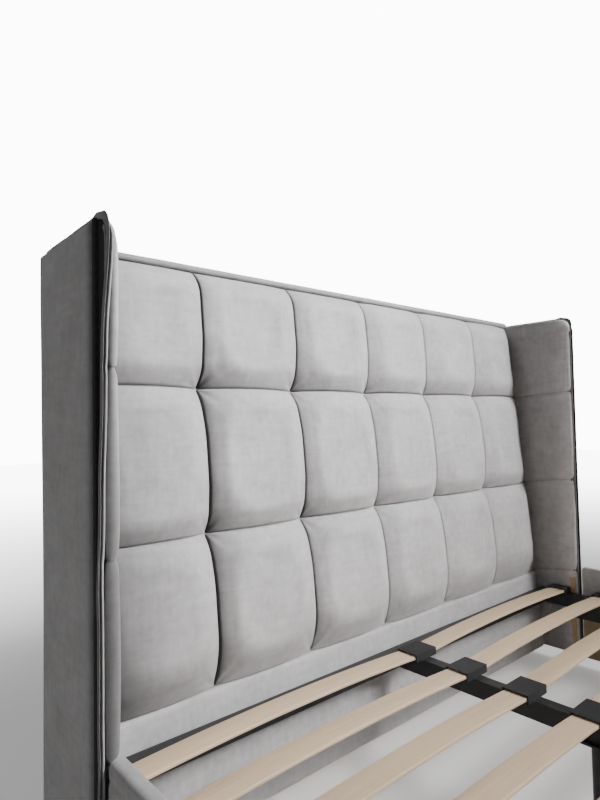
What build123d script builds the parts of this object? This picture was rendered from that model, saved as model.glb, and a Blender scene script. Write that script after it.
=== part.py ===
"""Upholstered double bed: winged headboard with sewn tiles, padded rails and a sprung slat base.

+X is to the right for someone standing at the foot end, +Y points to the headboard's back,
+Z is up, and z = 0 is the floor. All lengths are in millimetres.
"""

from build123d import *
from math import copysign, cos, hypot, radians, tan
import os

os.makedirs("parts", exist_ok=True)

# Mattress and the play around it
mattress_width = 1600.0
mattress_length = 2000.0
side_play = 10.0
head_play = 12.0
foot_play = 15.0

# Headboard: six columns of sewn tiles in three rows on a board that leans back
columns = 6
groove_height = 1188.0
upper_row_share = 0.29966
middle_row_share = 0.35017
tile_lift = 28.6
face_lean = 5.5
top_depth = 69.0
tuft_depth = 14.0
tile_crown = 50.0
tile_gap = 1.0
face_board = 8.0
back_cover = 4.0
lip_height = 13.0
lip_thickness = 7.0
lip_root = 6.0
lip_base = 5.0
lip_end_radius = 9.0
lip_play = 4.0
cap_thickness = 13.0
skirt_thickness = 14.0
soft_gap = 0.3

# How a tile draws in: heights above the board, and at its corners and the middles of its sides
# the shares of its shorter side
tile_shoulder_heights = (7.0, 20.0, 34.0, 44.0, 48.5)
tile_corner_shares = (0.015, 0.048, 0.119, 0.223, 0.312, 0.416)
tile_middle_shares = (0.0034, 0.0097, 0.0335, 0.119, 0.216, 0.364)

# Headboard timbers
timber_height = 30.0
post_width = 35.0
brace_height = 60.0
brace_depth = 22.0

# Wings
wing_reach = 239.0
wing_rise = 2.0
wing_corner = 43.0
wing_pad = 12.0
wing_tongue = 6.0
wing_board_rest = 6.0
wing_cover = 4.0
cover_drop = 4.0
nose_depth = 17.0
nose_overlap = 6.0
nose_round = 8.0
hollow_width = 27.0
cover_round = 3.5
flange_thickness = 7.0
flange_stand = 8.0
flange_root = 12.0
wing_lift = 5.0
seam_rise_upper = 15.0
seam_rise_middle = 22.0
seam_rise_lower = 22.0
wing_pad_heights = (6.0, 10.0)
wing_corner_shares = (0.018, 0.06, 0.15)
wing_middle_shares = (0.0022, 0.022, 0.09)

# Rails
rail_stand = 130.0
rail_lining = 3.0
rail_core = 18.0
rail_padding = 7.0
rail_top_padding = 8.0
rail_round = 6.0
foot_corner_round = 14.0
lining_depth = 110.0
rail_gap = 0.5

# Legs and glides
glide_thickness = 3.0
glide_radius = 20.0
headboard_foot_height = 32.0
block_width = 50.0
block_round = 4.0
leg_clearance = 11.0

# Support angles along both sides
angle_height = 205.0
angle_leg = 35.0
angle_drop = 44.0
angle_thickness = 3.0

# Steel slat frame
tube_width = 30.0
tube_height = 40.0
tube_wall = 1.5
frame_side_play = 2.0
frame_head_play = 10.0
frame_foot_play = 10.0

# Sprung slats in plastic holders
slats_per_side = 14
slat_width = 53.0
slat_thickness = 8.0
slat_camber = 12.0
slat_fit = 0.4
slat_end_fit = 1.0
holder_wall = 3.0
holder_end_wall = 5.0
pocket_depth = 35.0
pocket_slack = 3.5
holder_inset = 2.0
slat_head_margin = 75.0
slat_foot_margin = 75.0

# Centre legs with screw-out feet
centre_legs = 3
leg_radius = 19.0
leg_wall = 2.0
leg_plate_length = 90.0
leg_plate_width = 50.0
leg_plate_thickness = 4.0
insert_height = 15.0
pad_radius = 25.0
pad_thickness = 12.0
pad_round = 2.0
stem_radius = 5.0
stem_fit = 0.05
stem_length = 52.0
stop_gap = 0.3

# Bolts
bolt_radius = 4.0
bolt_fit = 0.25
bolt_head_width = 13.0
bolt_head_height = 5.3
bolt_bite = 5.0
core_bite = 14.0
rail_bolt_count = 6
rail_bolt_margin = 150.0
wing_bolt_margin = 40.0
post_bolt_margin = 35.0
wing_bolt_shares = (0.547, 0.892)
leg_bolt_spacing = 70.0
frame_bolt_count = 3
plate_bolt_margin = 12.0

# Widths worked out from the mattress
inner_half = mattress_width / 2 + side_play
column_width = 2 * inner_half / columns
core_inner = inner_half + rail_lining
core_outer = core_inner + rail_core
rail_outer = core_outer + rail_padding
board_inner = inner_half + wing_pad
board_step = board_inner + wing_tongue
board_outer = board_step + wing_board_rest
cover_outer = board_outer + wing_cover
flange_tip = cover_outer + flange_stand

# Heights worked out from the floor and from the groove
base_height = glide_thickness + headboard_foot_height
rail_top = angle_height + rail_stand
leg_top = angle_height - angle_drop - leg_clearance
leg_bolt_height = (base_height + leg_top) / 2
tube_top = angle_height + tube_height
slat_bottom = tube_top + holder_wall + slat_fit
slat_top = slat_bottom + slat_thickness + slat_camber
lower_seam = slat_top + tile_lift
upper_seam = groove_height - (groove_height - lower_seam) * upper_row_share
middle_seam = upper_seam - (groove_height - lower_seam) * middle_row_share
wing_top = groove_height + wing_rise
wing_bottom = base_height + wing_lift
timber_top = groove_height - cap_thickness

# Lengths worked out from the mattress and from the leaning face
slope = tan(radians(face_lean))
head_run = (groove_height - slat_top) * slope - tuft_depth + tile_crown / cos(radians(face_lean)) + head_play
foot_rail = rail_lining + rail_core + rail_padding
overall_length = top_depth + head_run + mattress_length + foot_play + foot_rail
back_y = overall_length / 2
foot_y = -overall_length / 2
groove_y = back_y - top_depth
foot_inner_y = foot_y + foot_rail
foot_core_y = foot_y + rail_padding
wing_front_y = groove_y - wing_reach
timber_back_y = back_y - back_cover


def board_y(height):
    """Front surface of the leaning face board at a height."""
    return groove_y + tuft_depth - (groove_height - height) * slope


def timber_y(height):
    """Back surface of the face board, where the timbers begin."""
    return board_y(height) + face_board / cos(radians(face_lean))


def leaning_section(x, bottom, top, front_of, back_of):
    """Side profile between two surfaces, each given as a function of height."""
    with BuildSketch(Plane.YZ.offset(x)) as section:
        with BuildLine():
            Polyline(
                (front_of(bottom), bottom),
                (back_of(bottom), bottom),
                (back_of(top), top),
                (front_of(top), top),
                close=True,
            )
        make_face()
    return section.sketch


def wing_outline(x, inset, back=None, bottom=None):
    """Wing side profile, drawn in from the nose's surface, with its rounded top front corner."""
    front = wing_front_y + inset
    rear = timber_back_y if back is None else back
    low = wing_bottom if bottom is None else bottom
    high = wing_top - inset
    with BuildSketch(Plane.YZ.offset(x)) as outline:
        with Locations(((front + rear) / 2, (low + high) / 2)):
            Rectangle(rear - front, high - low)
        corner = outline.vertices().group_by(Axis.Y)[-1].sort_by(Axis.X)[0]
        fillet(corner, radius=wing_corner - inset)
    return outline.sketch


def pad_outline(plane, corners, corner_in, middle_in):
    """Four-sided outline whose sides bow out between drawn-in corners."""
    centre_x = sum(x for x, y in corners) / len(corners)
    centre_y = sum(y for x, y in corners) / len(corners)
    tips = [
        (x + copysign(corner_in, centre_x - x), y + copysign(corner_in, centre_y - y))
        for x, y in corners
    ]
    with BuildSketch(plane) as outline:
        with BuildLine():
            for index, start in enumerate(corners):
                end = corners[(index + 1) % len(corners)]
                tip = tips[index]
                next_tip = tips[(index + 1) % len(corners)]
                if corner_in == middle_in:
                    Line(tip, next_tip)
                    continue
                run_x = end[0] - start[0]
                run_y = end[1] - start[1]
                length = hypot(run_x, run_y)
                middle_x = (start[0] + end[0]) / 2 - middle_in * run_y / length
                middle_y = (start[1] + end[1]) / 2 + middle_in * run_x / length
                ThreePointArc(tip, (middle_x, middle_y), next_tip)
        make_face()
    return outline.sketch


def soft_pad(plane, corners, heights, corner_shares, middle_shares):
    """Loft a crowned pad with drawn-in sides. Its corners run anticlockwise in the plane."""
    shorter_side = min(max(values) - min(values) for values in zip(*corners))
    sections = [pad_outline(plane, corners, 0, 0)]
    for height, corner_share, middle_share in zip(heights, corner_shares, middle_shares):
        corner_in = corner_share * shorter_side
        middle_in = middle_share * shorter_side
        sections.append(pad_outline(plane.offset(height), corners, corner_in, middle_in))
    loft(sections=sections)


def hex_bolt(plane, shank):
    """Hexagon bolt whose head stands on the plane and whose shank runs behind it."""
    with BuildSketch(plane) as head:
        RegularPolygon(radius=bolt_head_width / 2, side_count=6, major_radius=False)
    extrude(head.sketch, amount=bolt_head_height)
    with BuildSketch(plane) as core:
        Circle(bolt_radius)
    extrude(core.sketch, amount=-shank)


def bolt_holes(planes, depth):
    """Clearance holes behind the planes that the bolt heads stand on."""
    for plane in planes:
        with BuildSketch(plane) as hole:
            Circle(bolt_radius + bolt_fit)
        extrude(hole.sketch, amount=-depth, mode=Mode.SUBTRACT)


def side_plane(side, x, y, z):
    """Plane on a side piece's inner face, facing the middle of the bed."""
    return Plane(origin=(side * x, y, z), x_dir=(0, 1, 0), z_dir=(-side, 0, 0))


def block(x_ends, y_ends, z_ends, mode=Mode.ADD):
    """Rectangular block between two places along each axis, given in either order."""
    ends = (x_ends, y_ends, z_ends)
    centre = tuple(sum(pair) / 2 for pair in ends)
    size = [abs(pair[1] - pair[0]) for pair in ends]
    with Locations(centre):
        Box(*size, mode=mode)


# Headboard timbers

post_inner = inner_half - post_width
post_places = (-inner_half, -column_width - post_width / 2, column_width - post_width / 2, post_inner)
post_bottom = base_height + timber_height
post_top = timber_top - timber_height
post_bolt_height = angle_height - angle_drop / 2


def post_bolt_planes(side):
    """Planes on an outer post's inner face for the bolts that hold the wing."""
    low_front = timber_y(post_bolt_height) + post_bolt_margin
    low_back = timber_back_y - post_bolt_margin
    planes = [side_plane(side, post_inner, y, post_bolt_height) for y in (low_front, low_back)]
    for share in wing_bolt_shares:
        height = groove_height * share
        middle = (timber_y(height) + timber_back_y) / 2
        planes.append(side_plane(side, post_inner, middle, height))
    return planes


with BuildPart() as headboard_posts:
    for place in post_places:
        extrude(leaning_section(place, post_bottom, post_top, timber_y, lambda z: timber_back_y),
                amount=post_width)
    for side in (-1, 1):
        bolt_holes(post_bolt_planes(side), post_width)
headboard_posts.part.label = "headboard_posts"
export_step(headboard_posts.part, "parts/headboard_posts.step")

with BuildPart() as headboard_rails:
    for bottom in (base_height, post_top):
        extrude(leaning_section(-inner_half, bottom, bottom + timber_height, timber_y, lambda z: timber_back_y),
                amount=2 * inner_half)
headboard_rails.part.label = "headboard_rails"
export_step(headboard_rails.part, "parts/headboard_rails.step")

with BuildPart() as headboard_braces:
    for left_post, right_post in zip(post_places, post_places[1:]):
        for seam in (upper_seam, middle_seam):
            bottom = seam - brace_height / 2
            brace = leaning_section(left_post + post_width, bottom, bottom + brace_height,
                                    timber_y, lambda z: timber_y(z) + brace_depth)
            extrude(brace, amount=right_post - left_post - post_width)
headboard_braces.part.label = "headboard_braces"
export_step(headboard_braces.part, "parts/headboard_braces.step")

# Headboard board, covers and the flanged lip along the top

with BuildPart() as headboard_board:
    extrude(leaning_section(-inner_half, base_height, timber_top, board_y, timber_y), amount=2 * inner_half)
headboard_board.part.label = "headboard_board"
export_step(headboard_board.part, "parts/headboard_board.step")

with BuildPart() as headboard_back_cover:
    block((-inner_half, inner_half), (timber_back_y, back_y), (base_height, groove_height))
headboard_back_cover.part.label = "headboard_back_cover"
export_step(headboard_back_cover.part, "parts/headboard_back_cover.step")

lip_back_y = groove_y + lip_thickness / 2
cap_front_y = board_y(groove_height) + soft_gap
with BuildPart() as headboard_top_pad:
    block((-inner_half, inner_half), (cap_front_y, timber_back_y - soft_gap), (timber_top, groove_height))
    cap_edge = headboard_top_pad.edges().filter_by(Axis.X).group_by(Axis.Z)[-1].sort_by(Axis.Y)[0]
    fillet(cap_edge, radius=cap_thickness / 2)
headboard_top_pad.part.label = "headboard_top_pad"
export_step(headboard_top_pad.part, "parts/headboard_top_pad.step")

lip_half = inner_half - lip_play
with BuildPart() as headboard_top_flange:
    block((-lip_half, lip_half), (groove_y - lip_thickness / 2, lip_back_y),
          (groove_height - lip_root, groove_height + lip_height))
    block((-lip_half, lip_half), (lip_back_y, cap_front_y - soft_gap),
          (groove_height - lip_root, groove_height - lip_root + lip_base))
    lip_ends = headboard_top_flange.edges().filter_by(Axis.Y).group_by(Axis.Z)[-1]
    fillet(lip_ends, radius=lip_end_radius)
    lip_long = headboard_top_flange.edges().filter_by(Axis.X).group_by(Axis.Z)[-1]
    fillet(lip_long, radius=lip_thickness / 2 - soft_gap)
headboard_top_flange.part.label = "headboard_top_flange"
export_step(headboard_top_flange.part, "parts/headboard_top_flange.step")

# Sewn tiles, one group for each row, on the leaning board

lean_cos = cos(radians(face_lean))
face_plane = Plane(
    origin=(0, groove_y + tuft_depth, groove_height),
    x_dir=(1, 0, 0),
    z_dir=(0, -lean_cos, lean_cos * slope),
)
tile_heights = tile_shoulder_heights + (tile_crown,)


def tile_row(top, bottom):
    """One row of crowned tiles between two seam heights."""
    high = (top - groove_height) / lean_cos - tile_gap / 2
    low = (bottom - groove_height) / lean_cos + tile_gap / 2
    for column in range(columns):
        left = -inner_half + column * column_width + tile_gap / 2
        right = left + column_width - tile_gap
        corners = ((left, low), (right, low), (right, high), (left, high))
        soft_pad(face_plane, corners, tile_heights, tile_corner_shares, tile_middle_shares)


with BuildPart() as headboard_upper_tiles:
    tile_row(groove_height - lip_root - soft_gap, upper_seam)
headboard_upper_tiles.part.label = "headboard_upper_tiles"
export_step(headboard_upper_tiles.part, "parts/headboard_upper_tiles.step")

with BuildPart() as headboard_middle_tiles:
    tile_row(upper_seam, middle_seam)
headboard_middle_tiles.part.label = "headboard_middle_tiles"
export_step(headboard_middle_tiles.part, "parts/headboard_middle_tiles.step")

with BuildPart() as headboard_lower_tiles:
    tile_row(middle_seam, lower_seam)
headboard_lower_tiles.part.label = "headboard_lower_tiles"
export_step(headboard_lower_tiles.part, "parts/headboard_lower_tiles.step")


def skirt_y(height):
    """Front surface of the plain pad below the tiles."""
    return board_y(height) - skirt_thickness / lean_cos


with BuildPart() as headboard_skirt:
    skirt_top = lower_seam - tile_gap
    skirt_half = inner_half - tile_gap
    extrude(leaning_section(-skirt_half, base_height, skirt_top, skirt_y, board_y), amount=2 * skirt_half)
    skirt_edges = headboard_skirt.edges().filter_by(Axis.X).group_by(Axis.Y)[0]
    fillet(skirt_edges, radius=skirt_thickness / 4)
headboard_skirt.part.label = "headboard_skirt"
export_step(headboard_skirt.part, "parts/headboard_skirt.step")

# Wings, one each side of the headboard

nose_inner_y = wing_front_y + nose_depth
pad_edge = nose_depth + soft_gap
hollow_inset = nose_depth + hollow_width
rail_head_y = wing_front_y - flange_thickness - rail_gap
lower_spacer_top = lower_seam - tile_gap
wing_bolt_ys = (nose_inner_y + wing_bolt_margin, skirt_y(post_bolt_height) - wing_bolt_margin)


def front_bolt_planes(side):
    """Planes on the support angle's inner face for the bolts into the wing in front of the headboard."""
    return [side_plane(side, inner_half, y, post_bolt_height) for y in wing_bolt_ys]


for side, hand in ((-1, "left"), (1, "right")):

    with BuildPart() as wing_board:
        extrude(wing_outline(side * board_inner, nose_depth), amount=side * wing_tongue)
        block((side * board_step, side * board_outer), (wing_front_y + hollow_inset, timber_back_y),
              (wing_bottom, wing_top - nose_depth))
        bolt_holes(post_bolt_planes(side), board_inner - post_inner + bolt_bite + bolt_fit)
        bolt_holes(front_bolt_planes(side), board_inner - inner_half + bolt_bite + bolt_fit)
    wing_board.part.label = f"{hand}_wing_board"
    export_step(wing_board.part, f"parts/{hand}_wing_board.step")

    with BuildPart() as wing_nose:
        extrude(wing_outline(side * inner_half, 0), amount=side * (board_inner + nose_overlap - inner_half))
        extrude(wing_outline(side * (inner_half - soft_gap), nose_depth, bottom=wing_bottom - wing_lift),
                amount=side * (board_outer - inner_half), mode=Mode.SUBTRACT)
        nose_edges = wing_nose.faces().sort_by(Axis.X)[0 if side > 0 else -1].edges()
        front_edges = nose_edges.filter_by(Axis.Z).group_by(Axis.Y)[0]
        top_edges = nose_edges.filter_by(Axis.Y).group_by(Axis.Z)[-1]
        corner_edges = nose_edges.filter_by(GeomType.CIRCLE).sort_by(Axis.Z)[-1:]
        fillet(front_edges + top_edges + corner_edges, radius=nose_round)
        block((side * (inner_half - soft_gap), side * (core_inner + soft_gap)), (wing_front_y, nose_inner_y),
              (angle_height - angle_drop - soft_gap, angle_height + soft_gap), mode=Mode.SUBTRACT)
    wing_nose.part.label = f"{hand}_wing_nose"
    export_step(wing_nose.part, f"parts/{hand}_wing_nose.step")

    with BuildPart() as wing_flange:
        flange_inner = flange_tip - flange_stand - flange_root
        extrude(wing_outline(side * flange_inner, -flange_thickness),
                amount=side * (flange_stand + flange_root))
        extrude(wing_outline(side * (flange_inner - soft_gap), 0, back=back_y, bottom=base_height),
                amount=side * (flange_tip - flange_inner + 2 * soft_gap), mode=Mode.SUBTRACT)
        tip_edges = wing_flange.faces().sort_by(Axis.X)[-1 if side > 0 else 0].edges()
        fillet(tip_edges.filter_by(Axis.Z), radius=flange_thickness / 3)
    wing_flange.part.label = f"{hand}_wing_flange"
    export_step(wing_flange.part, f"parts/{hand}_wing_flange.step")

    with BuildPart() as wing_outer_cover:
        block((side * board_outer, side * cover_outer), (wing_front_y + hollow_inset, back_y),
              (wing_bottom, wing_top - cover_drop))
        block((side * board_inner, side * board_outer), (timber_back_y, back_y),
              (wing_bottom, wing_top - nose_depth))
        block((side * (board_step + soft_gap), side * board_outer), (wing_front_y + hollow_inset, back_y),
              (wing_top - nose_depth, wing_top - cover_drop))
        cover_face = wing_outer_cover.faces().sort_by(Axis.X)[-1 if side > 0 else 0]
        cover_edges = cover_face.edges()
        fillet(cover_edges.filter_by(Axis.Z) + cover_edges.filter_by(Axis.Y).group_by(Axis.Z)[-1],
               radius=cover_round)
    wing_outer_cover.part.label = f"{hand}_wing_outer_cover"
    export_step(wing_outer_cover.part, f"parts/{hand}_wing_outer_cover.step")

    with BuildPart() as wing_pads:
        pad_plane = Plane(origin=(side * board_inner, 0, 0), x_dir=(0, -side, 0), z_dir=(-side, 0, 0))
        pad_front = nose_inner_y + soft_gap
        pad_top = wing_top - pad_edge
        seams = (
            (pad_top, pad_top),
            (upper_seam, upper_seam + seam_rise_upper),
            (middle_seam, middle_seam + seam_rise_middle),
            (lower_seam, lower_seam + seam_rise_lower),
        )
        for (high_back, high_front), (low_back, low_front) in zip(seams, seams[1:]):
            outline = (
                (pad_front, low_front + tile_gap / 2),
                (board_y(low_back) - tile_gap, low_back + tile_gap / 2),
                (board_y(high_back) - tile_gap, high_back - tile_gap / 2),
                (pad_front, high_front - tile_gap / 2),
            )
            corners = [(-side * y, z) for y, z in outline]
            if side > 0:
                corners = [corners[1], corners[0], corners[3], corners[2]]
            soft_pad(pad_plane, corners, wing_pad_heights + (wing_pad,), wing_corner_shares, wing_middle_shares)
        clip = wing_corner - pad_edge
        with BuildSketch(Plane.YZ.offset(side * (inner_half - soft_gap))) as clipped_corner:
            with BuildLine():
                Polyline(
                    (pad_front - clip, pad_top - 2 * clip),
                    (pad_front + 2 * clip, pad_top + clip),
                    (pad_front - clip, pad_top + clip),
                    close=True,
                )
            make_face()
        extrude(amount=side * (wing_pad + 2 * soft_gap), mode=Mode.SUBTRACT)
    wing_pads.part.label = f"{hand}_wing_pads"
    export_step(wing_pads.part, f"parts/{hand}_wing_pads.step")

    with BuildPart() as wing_spacers:
        block((side * core_inner, side * board_inner), (nose_inner_y + soft_gap, timber_back_y),
              (wing_bottom, lower_spacer_top))
        bolt_holes(post_bolt_planes(side), board_inner - post_inner)
        bolt_holes(front_bolt_planes(side), board_inner - inner_half)
        upper_spacer = leaning_section(side * inner_half, lower_seam, wing_top - pad_edge, board_y,
                                       lambda z: timber_back_y)
        extrude(upper_spacer, amount=side * wing_pad)
        bolt_holes(post_bolt_planes(side), board_inner - post_inner)
    wing_spacers.part.label = f"{hand}_wing_spacers"
    export_step(wing_spacers.part, f"parts/{hand}_wing_spacers.step")

# Side rails, each a board inside a padded cover, with a steel angle along its inner face

angle_head_y = timber_back_y
ledge_head_y = skirt_y(angle_height) - soft_gap
rail_bolt_run = rail_head_y - foot_inner_y - 2 * rail_bolt_margin
rail_bolt_ys = [foot_inner_y + rail_bolt_margin + rail_bolt_run * step / (rail_bolt_count - 1)
                for step in range(rail_bolt_count)]
frame_head_y = skirt_y(angle_height) - frame_head_play
frame_foot_y = foot_inner_y + frame_foot_play
frame_bolt_ys = [frame_foot_y + (frame_head_y - frame_foot_y) * (step + 1) / (frame_bolt_count + 1)
                 for step in range(frame_bolt_count)]
tube_outer = inner_half - frame_side_play
tube_inner = tube_outer - tube_width
tube_middle = (tube_outer + tube_inner) / 2
side_leg_y = (rail_head_y + foot_inner_y) / 2
corner_leg_y = foot_inner_y - rail_lining + block_width / 2


def rail_bolt_planes(side):
    """Planes on the support angle's inner face for the bolts into the rail."""
    return [side_plane(side, inner_half, y, post_bolt_height) for y in rail_bolt_ys]


def frame_bolt_planes(side):
    """Planes under the support angle for the bolts up into the slat frame."""
    return [Plane(origin=(side * tube_middle, y, angle_height - angle_thickness), x_dir=(1, 0, 0),
                  z_dir=(0, 0, -1)) for y in frame_bolt_ys]


def leg_bolt_planes(side):
    """Planes on the leg blocks for the bolts into the side and foot rails."""
    planes = []
    for offset in (-leg_bolt_spacing / 2, leg_bolt_spacing / 2):
        for y in (corner_leg_y, side_leg_y):
            planes.append(side_plane(side, core_inner - block_width, y, leg_bolt_height + offset))
    return planes


def foot_bolt_planes(side):
    """Planes on the corner legs for the bolts into the foot rail."""
    planes = []
    for offset in (-leg_bolt_spacing / 4, leg_bolt_spacing / 4):
        planes.append(Plane(origin=(side * (core_inner - block_width / 2), corner_leg_y + block_width / 2,
                                    leg_bolt_height + offset), x_dir=(1, 0, 0), z_dir=(0, 1, 0)))
    return planes


for side, hand in ((-1, "left"), (1, "right")):

    with BuildPart() as rail_board:
        block((side * core_inner, side * core_outer), (foot_core_y + rail_core, rail_head_y),
              (base_height, rail_top - rail_top_padding))
        bolt_holes(rail_bolt_planes(side), rail_lining + core_bite + bolt_fit)
        bolt_holes(leg_bolt_planes(side), block_width + core_bite + bolt_fit)
    rail_board.part.label = f"{hand}_rail_board"
    export_step(rail_board.part, f"parts/{hand}_rail_board.step")

    with BuildPart() as rail_cover:
        cover_foot_y = foot_inner_y + rail_gap
        block((side * inner_half, side * rail_outer), (cover_foot_y, rail_head_y), (base_height, rail_top))
        long_top = rail_cover.edges().filter_by(Axis.Y).group_by(Axis.Z)[-1]
        fillet(long_top, radius=rail_round)
        block((side * core_inner, side * core_outer), (foot_y, rail_head_y),
              (base_height, rail_top - rail_top_padding), mode=Mode.SUBTRACT)
        block((side * tube_inner, side * core_outer), (foot_y, rail_head_y),
              (base_height, rail_top - lining_depth), mode=Mode.SUBTRACT)
    rail_cover.part.label = f"{hand}_rail_cover"
    export_step(rail_cover.part, f"parts/{hand}_rail_cover.step")

    with BuildPart() as support_angle:
        block((side * (core_inner - angle_thickness), side * core_inner),
              (foot_inner_y, angle_head_y), (angle_height - angle_drop, angle_height))
        block((side * (core_inner - angle_leg), side * (core_inner - angle_thickness)),
              (foot_inner_y, ledge_head_y), (angle_height - angle_thickness, angle_height))
        bolt_holes(rail_bolt_planes(side) + front_bolt_planes(side), rail_lining)
        bolt_holes(post_bolt_planes(side), core_inner - post_inner)
        bolt_holes(frame_bolt_planes(side), angle_thickness)
    support_angle.part.label = f"{hand}_support_angle"
    export_step(support_angle.part, f"parts/{hand}_support_angle.step")

# Foot rail

with BuildPart() as foot_rail_board:
    block((-core_outer, core_outer), (foot_core_y, foot_core_y + rail_core),
          (base_height, rail_top - rail_top_padding))
    for side in (-1, 1):
        bolt_holes(foot_bolt_planes(side), block_width + core_bite + bolt_fit)
foot_rail_board.part.label = "foot_rail_board"
export_step(foot_rail_board.part, "parts/foot_rail_board.step")

with BuildPart() as foot_rail_cover:
    block((-rail_outer, rail_outer), (foot_y, foot_inner_y), (base_height, rail_top))
    foot_corners = foot_rail_cover.edges().filter_by(Axis.Z).group_by(Axis.Y)[0]
    fillet(foot_corners, radius=foot_corner_round)
    fillet(foot_rail_cover.faces().sort_by(Axis.Z)[-1].edges(), radius=rail_round)
    block((-core_outer, core_outer), (foot_core_y, foot_core_y + rail_core),
          (base_height, rail_top - rail_top_padding), mode=Mode.SUBTRACT)
    block((-core_outer, core_outer), (foot_core_y + rail_core, foot_inner_y),
          (base_height, rail_top - lining_depth), mode=Mode.SUBTRACT)
    for side in (-1, 1):
        block((side * core_inner, side * core_outer), (foot_core_y + rail_core, foot_inner_y),
              (base_height, rail_top - rail_top_padding), mode=Mode.SUBTRACT)
foot_rail_cover.part.label = "foot_rail_cover"
export_step(foot_rail_cover.part, "parts/foot_rail_cover.step")

# Legs, glides and their bolts

with BuildPart() as rail_legs:
    for side in (-1, 1):
        for y in (corner_leg_y, side_leg_y):
            block((side * (core_inner - block_width), side * core_inner),
                  (y - block_width / 2, y + block_width / 2), (glide_thickness, leg_top))
    fillet(rail_legs.edges().filter_by(Axis.Z), radius=block_round)
    for side in (-1, 1):
        bolt_holes(leg_bolt_planes(side) + foot_bolt_planes(side), block_width)
rail_legs.part.label = "rail_legs"
export_step(rail_legs.part, "parts/rail_legs.step")

headboard_foot_y = (timber_y(base_height) + timber_back_y) / 2
headboard_foot_xs = [place + post_width / 2 for place in post_places]
with BuildPart() as headboard_feet:
    for x in headboard_foot_xs:
        block((x - post_width / 2, x + post_width / 2),
              (headboard_foot_y - block_width / 2, headboard_foot_y + block_width / 2),
              (glide_thickness, base_height))
    fillet(headboard_feet.edges().filter_by(Axis.Z), radius=block_round)
headboard_feet.part.label = "headboard_feet"
export_step(headboard_feet.part, "parts/headboard_feet.step")

glide_places = [(x, headboard_foot_y) for x in headboard_foot_xs]
for side in (-1, 1):
    for y in (corner_leg_y, side_leg_y):
        glide_places.append((side * (core_inner - block_width / 2), y))
with BuildPart() as felt_glides:
    for x, y in glide_places:
        with Locations((x, y, glide_thickness / 2)):
            Cylinder(radius=min(glide_radius, post_width / 2), height=glide_thickness)
felt_glides.part.label = "felt_glides"
export_step(felt_glides.part, "parts/felt_glides.step")

with BuildPart() as leg_bolts:
    for side in (-1, 1):
        for plane in leg_bolt_planes(side) + foot_bolt_planes(side):
            hex_bolt(plane, block_width + core_bite)
leg_bolts.part.label = "leg_bolts"
export_step(leg_bolts.part, "parts/leg_bolts.step")

with BuildPart() as wing_bolts:
    for side in (-1, 1):
        for plane in post_bolt_planes(side):
            hex_bolt(plane, board_inner - post_inner + bolt_bite)
        for plane in front_bolt_planes(side):
            hex_bolt(plane, board_inner - inner_half + bolt_bite)
wing_bolts.part.label = "wing_bolts"
export_step(wing_bolts.part, "parts/wing_bolts.step")

with BuildPart() as rail_bolts:
    for side in (-1, 1):
        for plane in rail_bolt_planes(side):
            hex_bolt(plane, rail_lining + core_bite)
rail_bolts.part.label = "rail_bolts"
export_step(rail_bolts.part, "parts/rail_bolts.step")

with BuildPart() as frame_bolts:
    for side in (-1, 1):
        for plane in frame_bolt_planes(side):
            hex_bolt(plane, angle_thickness + bolt_bite)
frame_bolts.part.label = "frame_bolts"
export_step(frame_bolts.part, "parts/frame_bolts.step")

# Steel tubes of the slat frame

for side, hand in ((-1, "left"), (1, "right")):
    with BuildPart() as side_tube:
        block((side * tube_inner, side * tube_outer), (frame_foot_y, frame_head_y), (angle_height, tube_top))
        block((side * (tube_inner + tube_wall), side * (tube_outer - tube_wall)),
              (frame_foot_y, frame_head_y), (angle_height + tube_wall, tube_top - tube_wall),
              mode=Mode.SUBTRACT)
        bolt_holes(frame_bolt_planes(side), angle_thickness + tube_height / 2)
    side_tube.part.label = f"{hand}_side_tube"
    export_step(side_tube.part, f"parts/{hand}_side_tube.step")

for end_y, direction, name in ((frame_head_y, -1, "head"), (frame_foot_y, 1, "foot")):
    with BuildPart() as cross_tube:
        inner_y = end_y + direction * tube_width
        block((-tube_inner, tube_inner), (end_y, inner_y), (angle_height, tube_top))
        block((-tube_inner, tube_inner), (end_y + direction * tube_wall, inner_y - direction * tube_wall),
              (angle_height + tube_wall, tube_top - tube_wall), mode=Mode.SUBTRACT)
    cross_tube.part.label = f"{name}_cross_tube"
    export_step(cross_tube.part, f"parts/{name}_cross_tube.step")

centre_foot_y = frame_foot_y + tube_width
centre_head_y = frame_head_y - tube_width
leg_run = centre_head_y - centre_foot_y
leg_ys = [centre_foot_y + leg_run * (step + 1) / (centre_legs + 1) for step in range(centre_legs)]
plate_bottom = angle_height - leg_plate_thickness
plate_bolt_x = leg_plate_length / 2 - plate_bolt_margin


def plate_bolt_planes():
    """Planes under the centre legs' top plates for the bolts up into the centre tube."""
    planes = []
    for y in leg_ys:
        for offset in (-plate_bolt_x, plate_bolt_x):
            planes.append(Plane(origin=(0, y + offset, plate_bottom), x_dir=(1, 0, 0), z_dir=(0, 0, -1)))
    return planes


with BuildPart() as centre_tube:
    block((-tube_width / 2, tube_width / 2), (centre_foot_y, centre_head_y), (angle_height, tube_top))
    block((-tube_width / 2 + tube_wall, tube_width / 2 - tube_wall), (centre_foot_y, centre_head_y),
          (angle_height + tube_wall, tube_top - tube_wall), mode=Mode.SUBTRACT)
    bolt_holes(plate_bolt_planes(), leg_plate_thickness + tube_height / 2)
centre_tube.part.label = "centre_tube"
export_step(centre_tube.part, "parts/centre_tube.step")

# Centre legs, their threaded inserts and the feet that screw out of them

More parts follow.
